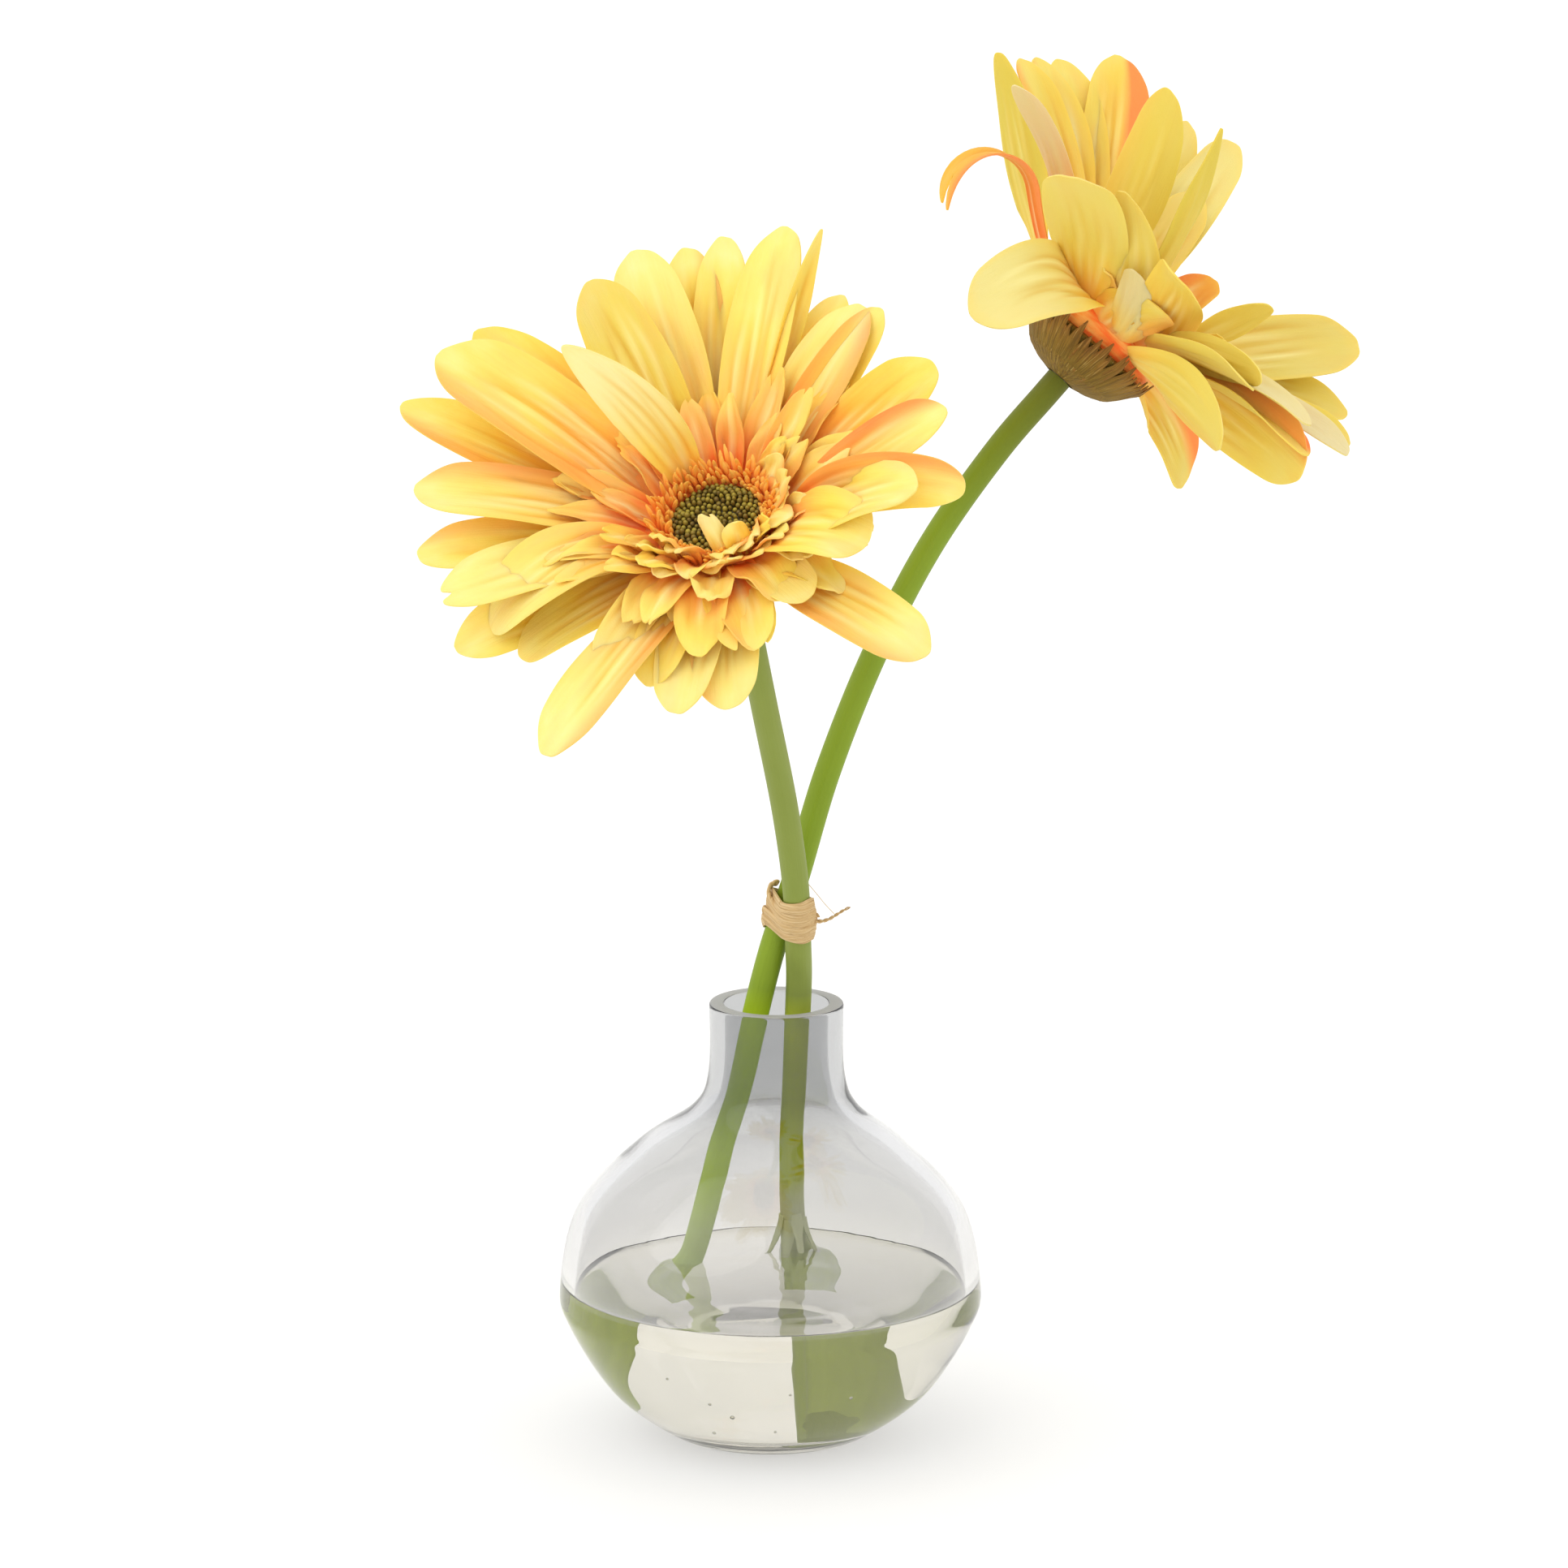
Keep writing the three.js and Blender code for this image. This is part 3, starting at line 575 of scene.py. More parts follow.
def make_vase():
    outer = outer_outline()
    inner = inner_outline(VASE_WALL, VASE_FLOOR)
    shoulder = RIM_HEIGHT - RIM_ROUNDING
    bore = RIM_RADIUS - VASE_WALL
    corner = [(1 - math.cos(a), 1 - math.sin(a)) for a in np.radians((0, 30, 60, 90))]
    lip_out = [(RIM_RADIUS - RIM_ROUNDING * x, RIM_HEIGHT - RIM_ROUNDING * y) for x, y in corner]
    lip_in = [(bore + RIM_ROUNDING * x, RIM_HEIGHT - RIM_ROUNDING * y) for x, y in corner[::-1]]
    outer = outer[outer[:, 1] < shoulder]
    inner = inner[inner[:, 1] < shoulder]
    shape = Shape()
    points, faces = turned([*PUNT, *outer, *lip_out, *lip_in, *inner[::-1]], VASE_SIDES)
    points[:, 0] += NECK_SHIFT * smoothstep(points[:, 2], NECK_SHIFT_FROM, NECK_SHIFT_TO)
    shape.add(points, faces)
    shape.piece("glass_vase", vase_glass(), "vase", sharp=80)


def make_water():
    """Water with a climbing edge, a soft ripple on its surface and a few bubbles inside."""
    inner = inner_outline(VASE_WALL - WATER_INTO_WALL, VASE_FLOOR - WATER_INTO_FLOOR)
    below = inner[inner[:, 1] < WATER_LEVEL]
    edge = below[-1, 0]
    surface = [(edge - inward, WATER_LEVEL + rise) for inward, rise in MENISCUS]
    surface += [(radius, WATER_LEVEL - SURFACE_DIP) for radius in np.linspace(edge - 4.5, 0, 24)]
    points, faces = turned([*below, *surface], VASE_SIDES)
    radius = np.hypot(points[:, 0], points[:, 1])
    angle = np.arctan2(points[:, 1], points[:, 0])
    waver = np.sin(3 * angle + radius * 0.35) + 0.7 * np.sin(5 * angle - radius * 0.6)
    waver = (waver + 0.5 * np.sin(radius * 0.9)) * smoothstep(radius, 2, 12)
    on_top = (points[:, 2] > WATER_LEVEL - 0.45) & (radius < edge - 0.5)
    points[:, 2] += np.where(on_top, RIPPLE * waver, 0)
    shape = Shape()
    shape.add(points, faces)
    for x, y, z, size in BUBBLES:
        turns = np.linspace(0.05, math.pi - 0.05, 10)
        points, faces = turned([(size * math.sin(a), size * math.cos(a)) for a in turns], 14)
        shape.add(points + (x, y, z), faces)
    shape.piece("still_water", still_water(), "water", sharp=80)


# Stems


def head_frame(head):
    axis = Vector(head.axis).normalized()
    right = (Vector((1, 0, 0)) - axis * axis.x).normalized()
    turn = Matrix((right, axis.cross(right), axis)).transposed()
    return Matrix.Translation(head.centre) @ turn.to_4x4()


def stem_route(stem, head):
    place = head_frame(head)
    straight = [tuple(place @ Vector((0, 0, z))) for z in (-STRAIGHT_FROM, STEM_TOP)]
    return smooth_route([*stem.route, *straight], STEM_STEPS)


def toe(start, turn, rng):
    """A thin strip of skin that peels off a stem at start and hangs down and outwards."""
    length = rng.uniform(6.5, 8.5)
    t = np.linspace(0, 1, 14)
    out = STEM_RADIUS * 0.95 + 3.4 * t**1.6 * rng.uniform(0.7, 1.2)
    half = rng.uniform(1.1, 1.6) * (1 - 0.6 * t**2) * (1 + 0.15 * np.sin(9 * t + turn))
    columns = np.linspace(-1, 1, 7)
    path = start + polar(out, turn, -length * t)
    across = polar(1, turn + math.pi / 2, 0) * (columns * half[:, None])[..., None]
    bowed = polar(1, turn, 0) * (0.35 * (1 - columns**2))[:, None]
    return blade(path[:, None] + across + bowed, 0.3)


def make_stem(node, stem, head, look):
    route = stem_route(stem, head)
    angle = np.linspace(0, 2 * np.pi, STEM_SIDES, endpoint=False)
    height = route[:, 2:]
    splayed = 1 - smoothstep(height, SPLAY_FULL, SPLAY_FROM)
    drawn_in = SPLAY_TIP * (1 - smoothstep(height, 9, 17))
    toes = 0.16 * np.cos(4 * angle) + 0.1 * np.cos(9 * angle + 1)
    oval = 0.02 * np.cos(2 * angle + height / 23) + 0.012 * np.sin(height / 7 + angle)
    radius = STEM_RADIUS * (1 + splayed * (stem.splay - 1 + toes - drawn_in) + oval)
    steps = np.arange(len(route))
    at_rim = np.argmax(route[:, 2] > RIM_HEIGHT)
    along = np.interp(steps, (0, at_rim, steps[-1]), (0, ALONG_AT_RIM, 1))
    cloth = cloth_at(STEM_RADIUS * np.abs(angle - np.pi), steps[:, None])
    shape = Shape()
    shape.add(*tube(route, radius), along=np.repeat(along, STEM_SIDES), cloth=cloth)
    rng = np.random.default_rng(7)
    for turn in stem.frayed:
        top = np.argmin(np.abs(route[:, 2] - rng.uniform(38, 41)))
        # The toes take the pale cut colour, which is partly painted light.
        shape.add(*toe(route[top], math.radians(turn), rng), along=0.14, cloth=(0.5, 3, 2))
    shape.piece(node + "_skin", look, node)


# Raffia tie

TIE_MIDDLE = 112.9
TIE_REACH = 3.2
TIE_TURNS = 8
TIE_STEPS = 72
STRAND_WIDTH = 2.6
STRAND_THICKNESS = 0.3
LOOP_WIDTH = 1.1
KNOT = (8.8, -6.8, 113.4)
TAIL = [
    (8.6, -6.6, 113.3), (10.4, -7, 113.1), (12.1, -7, 113.5), (13.8, -6.7, 114.4),
    (15.5, -6.3, 115.4), (16.7, -6, 115.9),
]
STUB = [(8.9, -6.8, 113.6), (9.7, -7.2, 114.5), (10.3, -7.3, 114.2)]
TWIST = [
    (1.6, 1.5, 119.6), (0.2, 0.2, 119.2), (-0.3, -1.4, 117.8), (0.6, -3.2, 116.3),
    (1.9, -5.2, 114.9), (3.2, -7.6, 113.7),
]
FIBRE = [(7.6, -8.4, 121.9), (9.6, -8, 119.4), (11.6, -7.6, 116.8), (13.6, -7, 114.5)]
FIBRE_RADIUS = 0.07


def round_both(angle, height, reach, routes):
    """A point on the outline round both stems, reach away from their middles."""
    centres = [np.array([np.interp(height, r[:, 2], r[:, k]) for k in range(2)]) for r in routes]
    out = np.array([math.cos(angle), math.sin(angle)])
    weights = np.array([math.exp(3.5 * (c @ out)) for c in centres])
    middle = (centres[0] * weights[0] + centres[1] * weights[1]) / weights.sum()
    x, y = middle + out * reach
    climb = 2 - 2 * smoothstep(x, -1.5, 3.4) + 0.6 * smoothstep(x, 6.5, 9.2)
    return np.array([x, y, height + climb])


def twisted(path, twists, radius, taper):
    """Two thin strands wound round each other along a path, as (points, faces, cloth) of each."""
    for phase in (0, np.pi):
        spin = np.linspace(0, twists * np.pi, len(path)) + phase
        offset = np.stack([np.cos(spin) * 0.3, np.cos(spin), np.sin(spin)], -1) * radius * 0.75
        strand = tube(path + offset, np.linspace(1, taper, len(path)) * radius)
        run = np.arange(len(path))[:, None] * 0.3
        yield *strand, cloth_at(np.arange(8) * 0.2, run, phase)


def ribbon(path, outward, width, rng):
    """A creased flat strand along a path. Its broad face looks outward."""
    path = np.asarray(path, float)
    across = unit(np.cross(outward, unit(np.gradient(path, axis=0))))
    columns = np.linspace(-1, 1, 7)
    steps = np.arange(len(path))[:, None]
    waver = np.sin(steps * 0.21 + columns * 2.5 + rng.uniform(0, 6)) * 0.1
    belly = (1 - columns**2) * 0.28 + waver
    side = columns * np.reshape(width, (-1, 1)) / 2
    grid = path[:, None] + across[:, None] * side[..., None] + outward[:, None] * belly[..., None]
    return *blade(grid, STRAND_THICKNESS), cloth_at(side, steps * 0.4, rng.uniform(0, 40))


def make_tie(routes):
    """Strands wound round both stems, a knot of three loops, its ends and one loose fibre."""
    rng = np.random.default_rng(4)
    strands = []
    for turn in range(TIE_TURNS):
        middle = TIE_MIDDLE + TIE_REACH * (2 * turn / (TIE_TURNS - 1) - 1)
        lean = rng.uniform(-1.3, 1.3)
        phase = rng.uniform(0, 2 * np.pi)
        reach = STEM_RADIUS + 0.45 + 0.22 * (turn % 3)
        angles = np.linspace(0, 2 * np.pi * 1.06, TIE_STEPS) + phase
        heights = middle + lean * np.sin(angles + phase) * 0.5 + 0.15 * np.sin(angles * 3 + phase)
        path = [round_both(a, h, reach, routes) for a, h in zip(angles, heights, strict=True)]
        width = STRAND_WIDTH * rng.uniform(0.6, 1.15) * (1 + 0.18 * np.sin(angles * 2 + phase))
        strands.append(ribbon(path, polar(1, angles, 0), width, rng))
    for route, *form in ((TAIL, 7, 0.27, 0.5), (STUB, 2, 0.3, 0.7), (TWIST, 9, 0.42, 0.8)):
        strands += twisted(smooth_route(route, 44), *form)
    points, faces = tube(smooth_route(FIBRE, 16), FIBRE_RADIUS)
    strands.append((points, faces, points))
    for loop in range(3):
        angles = np.linspace(0, 2 * np.pi * 0.9, 26) + loop * 2.1
        tilt = 0.5 * loop
        side = 0.6 * np.cos(angles) * math.cos(tilt)
        back = 0.8 * np.cos(angles) * math.sin(tilt) + 0.25 * loop - 0.1
        offset = np.stack([side, back, 1.2 * np.sin(angles)], -1)
        strands.append(ribbon(offset + KNOT, unit(offset), LOOP_WIDTH, rng))
    shape = Shape()
    for points, faces, cloth in strands:
        shape.add(points, faces, cloth=cloth)
    shape.piece("raffia_strands", raffia_fibre(), "raffia_tie")


# Petals

# A petal's form: angles in degrees, lengths in millimetres, the rest in shares of its length or width
FORM = {
    "hook": 0, "hook_from": 0.6, "sway": 0, "roll": 0, "twist": 0, "cup": 24,
    "neck": 0.34, "widest": 0.55, "cap": 0.17, "taper": 0.36, "notch": 0, "pleats": 5,
    "pleat_depth": 0.5, "wave": 0.5, "crumple": 0,
}
# Its colours: raw and ripe are the places of its root and tip on the way from orange to lemon
TINT = {
    "raw": 0, "ripe": 1, "gold": 0.1, "blush": 0, "pale": 0, "lime": 0, "pink": 0, "back": 1,
}


def ray(turn, length, width, lift, bend, root=-6, **more):
    """A petal: turn round the axis, lift above the disc's plane, bend to its tip, height of its root.

    A positive blush colours the edge on the side of a larger turn, a negative one the other edge.
    """
    petal = SimpleNamespace(turn=turn, length=length, width=width, lift=lift, bend=bend, root=root)
    petal.root_radius = STEEP_ROOT_RADIUS if lift > 30 else FLAT_ROOT_RADIUS
    vars(petal).update({**FORM, **TINT, **more})
    return petal


def spine(petal, steps=60):
    """Distance from the axis, height and slope along a petal's middle line."""
    t = np.linspace(0, 1, steps + 1)
    hooked = np.maximum(0, (t - petal.hook_from) / (1 - petal.hook_from))
    slope = np.radians(petal.lift + petal.bend * t + petal.hook * hooked)
    between = (slope[1:] + slope[:-1]) / 2
    step = petal.length / steps
    out = petal.root_radius + np.concatenate([[0], np.cumsum(step * np.cos(between))])
    up = petal.root + np.concatenate([[0], np.cumsum(step * np.sin(between))])
    return t, out, up, slope


def pressed_grooves(petal, t, s, half, rng):
    """Shares of groove and of ridge at each point: a few narrow lines that run out towards the tip. In
    the colour the grooves carry painted shade and the ridges a painted highlight.
    """
    draw = rng.uniform
    marks = np.zeros((2, *t.shape))
    count = petal.pleats
    for k in range(2 * count - 1):
        line = (2 * (k / 2 + 0.5) / count - 1) * 0.72 + draw(-0.05, 0.05)
        ends = draw(0.7, 0.98) - 0.2 * abs(line)
        width = draw(0.5, 0.85)
        wander = 0.07 * np.sin(t * draw(4, 9) + draw(0, 6))
        fade = smoothstep(t, 0.05, 0.25) * (1 - smoothstep(t, ends - 0.25, ends + 0.05))
        share = fade * np.exp(-(((s - line - wander) * half / width) ** 2)) * draw(0.6, 1)
        marks[k % 2] += share
    return np.minimum(marks, 1)


def petal_relief(petal, t, s, half, groove, rng):
    """Height of a petal's surface over its middle line: cupped, pressed, waved and crumpled."""
    draw = rng.uniform
    bow = math.radians(petal.cup)
    edge = np.abs(s) ** 2.5 * smoothstep(t, 0.12, 0.6)
    ripple = np.sin(t * draw(7, 11) + np.sign(s) * 1.3 + draw(0, 6))
    sag = np.sin(t * draw(2.5, 4) + draw(0, 6)) * 0.5 * smoothstep(t, 0, 0.4)
    fold = np.sin(t * draw(9, 14) + s * draw(-5, 5))
    fold *= np.cos(s * draw(3, 6) + draw(0, 6)) * smoothstep(t, 0.15, 0.5)
    cupped = half * (1 - np.cos(bow * s)) / bow - petal.pleat_depth * groove
    return cupped + petal.wave * (edge * ripple + sag) + petal.crumple * fold


def bent_grid(petal, t, aside, raised):
    """Places a petal's flat grid along its bent, rolled and swayed middle line."""
    run, out, up, slope = spine(petal)
    slope = np.interp(t, run, slope)[..., None]
    turn = math.radians(petal.turn)
    outward = polar(1, turn, 0)
    across = polar(1, turn + math.pi / 2, 0)
    lift = np.array([0, 0, 1])
    normal = lift * np.cos(slope) - outward * np.sin(slope)
    roll = (np.radians(petal.roll + petal.twist * t) * np.minimum(1, 2.5 * t))[..., None]
    side = across * np.cos(roll) + normal * np.sin(roll)
    face = normal * np.cos(roll) - across * np.sin(roll)
    middle = outward * np.interp(t, run, out)[..., None] + lift * np.interp(t, run, up)[..., None]
    middle += across * (petal.sway * t**2)[..., None]
    return middle + side * aside[..., None] + face * raised[..., None]


def add_petal(shape, head, petal, rng, rows=28, columns=36):
    draw = rng.uniform
    even = np.linspace(-1, 1, columns + 1)
    s = 0.2 * even + 0.8 * np.sin(np.pi * even / 2)
    notch_at = draw(-0.4, 0.4)
    reach = 1 - petal.cap * (1 - np.sqrt(1 - (0.999 * s) ** 2))
    reach -= petal.notch * np.exp(-(((s - notch_at) / 0.18) ** 2))
    reach -= 0.003 * np.sin(s * draw(5, 9) + draw(0, 6))
    t = np.linspace(0, 1, rows + 1)[:, None] * reach
    s = np.broadcast_to(s, t.shape)
    grow = np.sin(np.pi / 2 * np.minimum(1, t / petal.widest))
    grow = petal.neck + (1 - petal.neck) * grow
    past = np.maximum(0, (t - petal.widest) / (1 - petal.widest))
    half = petal.width / 2 * grow * (1 - petal.taper * past**2)
    bow = math.radians(petal.cup)
    aside = half * np.sin(bow * s) / bow
    groove, ridge = pressed_grooves(petal, t, s, half, rng)
    raised = petal_relief(petal, t, s, half, groove, rng)
    thickness = PETAL_THICKNESS * (1 - 0.5 * np.abs(s) ** 6)
    blushed = smoothstep(s * np.sign(petal.blush), 0.1, 1) * smoothstep(t, 0.1, 0.45)
    shape.add(
        *blade(bent_grid(petal, t, aside, raised), thickness),
        along=petal.raw + t * (petal.ripe - petal.raw),
        groove=groove,
        ridge=ridge,
        rim=np.maximum(smoothstep(np.abs(s), 0.8, 1), smoothstep(t / reach, 0.93, 1)),
        blush=abs(petal.blush) * blushed,
        gold=petal.gold,
        pale=petal.pale * smoothstep(t, 0.15, 0.7),
        lime=(petal.lime + head.lime) * smoothstep(t, 0.1, 0.6),
        pink=petal.pink * smoothstep(t, 0.2, 0.75),
        under=np.outer((0, petal.back), smoothstep(t, 0, 0.5)),
        cloth=cloth_at(aside, t * petal.length, draw(0, 60)),
    )


def inner_florets(head, rng):
    """Pointed petals in turns round the disc: long on its far side, short on its near one.

    Crumpled ones that stand up and fold back fill the near side.
    """
    draw = rng.uniform
    plan = head.florets
    florets = []
    for turn, (share, rise) in enumerate(FLORET_TURNS):
        for k in range(plan.count):
            around = math.degrees(staggered(k, turn, plan.count)) + draw(-8, 8)
            away = math.cos(math.radians(around - plan.tall_side))
            near = max(0, -away)
            if turn > 2 and (near > 0.2 or away > 0.3) or turn > 1 and near > 0.5:
                continue
            florets.append(ray(
                around,
                plan.length * share * (1 + 0.2 * away) * draw(0.8, 1.18),
                draw(6.5, 9.5) * (1 - 0.08 * turn + 0.45 * near),
                plan.lift + rise * (1 + 0.3 * near) - 14 * near + draw(-7, 7),
                draw(-28, -8) - 22 * near,
                root_radius=plan.root_radius - 0.25 * turn - 1.3 * near,
                cap=draw(0.28, 0.5) - 0.1 * near, taper=0.5 - 0.2 * near,
                cup=draw(15, 45), hook=-12 * away + draw(-25, 20) + 8 * near,
                twist=draw(-25, 25) * (1 + 0.4 * near), notch=rng.choice([0, 0, 0.1, 0.18]),
                wave=0.5 + 0.4 * near, crumple=0.4 + 0.3 * near,
                raw=-0.05 - 0.1 * max(0, away) - 0.15 * near,
                ripe=draw(0.65, 0.9) - 0.15 * away, gold=draw(0, 0.5) + 0.3 * away,
                blush=rng.choice([-0.4, 0, 0, 0.4]), pale=draw(0, 0.25),
                root=-3.4, neck=0.7, widest=0.45, back=0.2, pleats=2, pleat_depth=0.3,
            ))
    for k in range(plan.crumpled):
        odd = k % 2
        spread = 170 * ((k + 0.5) / plan.crumpled - 0.5)
        florets.append(ray(
            plan.tall_side + 180 + spread + draw(-5, 5),
            draw(8, 13),
            draw(6.5, 9),
            draw(88, 112) - 38 * odd,
            draw(-110, -60) + 50 * odd,
            root_radius=draw(11, 12.2) + 0.5 * odd,
            cap=draw(0.2, 0.5), cup=draw(-20, 50), twist=draw(-35, 35),
            notch=rng.choice([0, 0.12, 0.2]), crumple=draw(0.2, 0.5),
            ripe=draw(0.9, 1.1), gold=draw(0, 0.15), blush=0.7 - 1.4 * odd,
            pale=draw(0.1, 0.3),
            root=-3, neck=0.6, wave=0.6, raw=-0.25, back=0.1, pleats=2, pleat_depth=0.3,
        ))
    return florets + head.curled


# Head A faces the front and leans up. Turn 0 is to the right, 90 to the top of the picture.
HEAD_A = SimpleNamespace(
    name="bloom_a",
    centre=(-10.8, -62, 208.9),
    axis=(-0.2185, -0.5796, 0.7851),
    lime=0,
    florets=SimpleNamespace(count=15, crumpled=16, lift=32, length=24, tall_side=125, root_radius=13.4),
    curled=[
        ray(281, 11.5, 5.2, 112, 10, -2, root_radius=12, sway=-2, cup=60, neck=0.7, cap=0.15,
            raw=0.6, gold=0, pale=0.4, back=0, pleats=2, pleat_depth=0.2, crumple=0.3, notch=0.12),
        ray(298, 8.5, 6, 100, 10, -2, root_radius=12.2, neck=0.7, raw=0.3, back=0.2,
            crumple=0.5, pleats=2, gold=0.2),
        ray(320, 9, 6, 95, -60, -2, root_radius=12.2, twist=50, neck=0.8, ripe=0.7, back=0.3,
            crumple=0.8, pleats=2, gold=0.2),
    ],
)
HEAD_A.rays = [
    ray(74, 60, 14, 30, -20, -5, gold=0.05, pale=0.15),
    ray(66, 56.4, 6, 32.8, -14, -7, roll=60, cap=0.5, gold=0.35, lime=0.4),
    ray(61, 50, 12, 24, -14, -8, gold=0.15),
    ray(50, 42.6, 15, 33.5, -18, -5, pale=0.3, blush=-0.6, cup=14),
    ray(46, 48, 11, 30, -12, -7, roll=20, gold=0.5, blush=0.6),
    ray(25, 42.9, 16, 32.8, -18, -7, roll=10, gold=0.85),
    ray(6, 42, 12.5, 36, -18, -5, roll=15, gold=0.3, pale=0.2, blush=0.9),
    ray(352, 43, 12, 50.2, -78, -4, roll=45, gold=0.45, blush=0.7),
    ray(344, 37.4, 17, 48.7, -40),
    ray(328, 28.4, 19, 60, -82.1, -3),
    ray(316, 48, 15.5, 10, -18, -8, gold=0.15, pale=0.3, blush=-0.5),
    ray(306, 23, 12, 20, -20, -5, pale=0.3),
    ray(271, 34, 14.5, 8, -25, -8, pale=0.3, blush=-0.4, gold=0.2),
    ray(258, 36, 13.5, 8, -20, -7, pale=0.4),
    ray(281, 26, 14, 25, -50, -5, gold=0.5, notch=0.12),
    ray(256, 18, 11, 25, -55, -4, gold=0.2),
    ray(248, 31, 12, 15, -35, gold=0.25),
    ray(232, 32, 9, 25, -45, twist=-50, gold=0.3, pale=0.3),
    ray(238, 56, 14, 15, -20, -8, pale=0.4, blush=0.5, gold=0.2),
    ray(200, 41.1, 18, 44, -94.4, -3, gold=0.15, pale=0.25),
    ray(211, 39, 14, 15, -30, -7, gold=0.25, lime=0.4),
    ray(200, 49, 13.5, 12, -20, -8, roll=-25),
    ray(194, 49, 16, 22, -26, -5, pale=0.4, notch=0.05),
    ray(180, 53, 14.5, 22, -22, -8, blush=-0.4, gold=0.2),
    ray(170, 54, 15.5, 28, -24, -5, pale=0.25, blush=-0.6, gold=0.2),
    ray(154, 64, 14, 26, -12, -8, gold=0.35, blush=0.6),
    ray(147, 56.8, 22, 40.9, -20, -5, roll=10, gold=0.4, pale=0.1, blush=0.55),
    ray(134, 58.6, 16, 30.4, -18, -7, roll=10, gold=0.75),
    ray(116, 42, 13, 82, -20, -4, roll=-20, raw=0.45, gold=0, pale=1, cap=0.5, sway=12.5),
    ray(113, 50.8, 16, 46.3, -20, -8, raw=0.4, gold=0, lime=0.6),
    ray(102, 54, 16, 34, -18, -5, pale=0.35),
    ray(93, 59, 13.5, 30, -18, -8, roll=10, gold=0.3, blush=-0.5),
    ray(86, 60, 12.5, 30, -18, -8),
]

# Head B is seen from the side, facing up and to the right. Turn 0 is down to the right,
# 180 up to the left, 270 towards the front.
HEAD_B = SimpleNamespace(
    name="bloom_b",
    centre=(72.1, 0, 241.2),
    axis=(0.6557, 0.1653, 0.7367),
    # Painted shade: every petal of this head is mixed towards dark olive, because less light falls on
    # it than on head A.
    lime=0.5,
    florets=SimpleNamespace(count=14, crumpled=0, lift=48, length=13, tall_side=0, root_radius=11.5),
    curled=[],
)
HEAD_B.rays = [
    ray(163, 55, 13, 35, 2, -7, roll=45, cap=0.3, raw=0.4, gold=0, pale=0.2, lime=0.9, back=0.7),
    ray(156, 55, 14, 56, -34, roll=-30, gold=0.5, back=0.1, blush=0.5),
    ray(149, 58, 14, 58, -34, roll=-30, gold=0.6, back=0.1, blush=0.5),
    ray(140, 63, 14, 60, -34, -7, roll=-35, gold=0.5, back=0.1),
    ray(131, 66, 15.5, 62, -24, roll=-40, gold=0.4, back=0.1, blush=-3),
    ray(235, 47, 14, 76, -4, roll=15, sway=-8, raw=0.35, lime=0.2, blush=-0.5),
    ray(112, 57, 13, 68, -14, -7, pale=0.4),
    ray(280, 45.5, 8, 76, -2, -5, roll=50, sway=-12.5, cap=0.5, gold=0, lime=0.8),
    ray(98, 57, 13, 72, -8, -7, cap=0.12, raw=0.3, gold=0, pale=0.8),
    ray(98, 38, 12, 80, -12, -5, pale=0.3, gold=0.2),
    ray(243, 37, 18, 34, -20, -5, roll=30, raw=0.3, gold=0, pale=0.5, back=0.7, sway=-4),
    ray(275, 27, 14, 50, 0, -5, raw=0.3, gold=0, lime=0.3, back=0.2, sway=-16),
    ray(243, 45, 18, 14, -88, -4, roll=-25, raw=0.5, gold=0, pale=1),
    ray(206, 47, 7, 60, -55, roll=35, gold=0.8, back=0, pink=0.8, blush=0.6),
    ray(205, 54.8, 9, 23.3, 24.6, root_radius=12.9, hook=-177, hook_from=0.43, sway=10.9,
        cup=12, taper=0.1, notch=0.14, pleats=2, wave=0.2, ripe=0.45, gold=1, back=0, blush=1),
    ray(285, 17.5, 10.5, 45, 0, -7, pink=0.8, blush=0.3, back=0.2, sway=-8.2),
    ray(303, 24.5, 18, 60, -43, raw=0.2, gold=0.8, back=0.1, wave=1, sway=-13.7),
    ray(350, 27, 9, 65, 0, -4, roll=-30, raw=0.4, gold=0.5, lime=0.3, back=0.9),
    ray(314, 38, 9, 26, -20, -5, roll=-40, raw=0.35, pale=0.5),
    ray(310, 40, 11, 23, -25, -5, raw=0.3, pale=0.4, lime=0.2),
    ray(308, 46.5, 12, 11, -30, -8, roll=-50, raw=0.3, pale=0.5, lime=0.1, blush=0.6),
    ray(51, 46, 17, 4, -24, -8, roll=60, raw=0.2, lime=0.2, back=0.5, blush=1.2, gold=0.2),
    ray(329, 50, 18, 16, -25, -7, roll=-60, raw=0.2, gold=0.4, back=0.5, blush=-1.3),
    ray(326, 50, 13, 21, -30, roll=20, gold=0.8, blush=1.5),
    ray(321, 50, 9, 28, -35, -5, roll=30, raw=0.3, pale=0.3, pink=0.7),
    ray(334, 54, 9, 30, -35, roll=40, raw=0.3, pale=0.3, pink=0.9),
    ray(23, 49, 17, 52, -10, -7, roll=45, raw=0.5, gold=0, pale=0.6, lime=0.3),
    ray(16, 45, 14, 39, -20, roll=35, raw=0.4, lime=0.3),
    ray(4, 45, 13, 34, -25, roll=30, raw=0.4, lime=0.3),
    ray(65, 27, 11, 70, -15, -4, ripe=0.35, gold=1, back=0, blush=1),
    ray(38, 42, 15, 36, -20, -5, roll=20, gold=0.2),
    ray(108, 42, 15, 60, -18, -4, gold=0.3),
    ray(222, 24, 13, 56, -30, -4, gold=0.2),
    ray(262, 15, 12, 66, -10, -7, gold=0.7, back=0.1),
    ray(272, 15, 14, 48, -10, -7, gold=0.7, back=0.1, blush=0.5, sway=6),
]


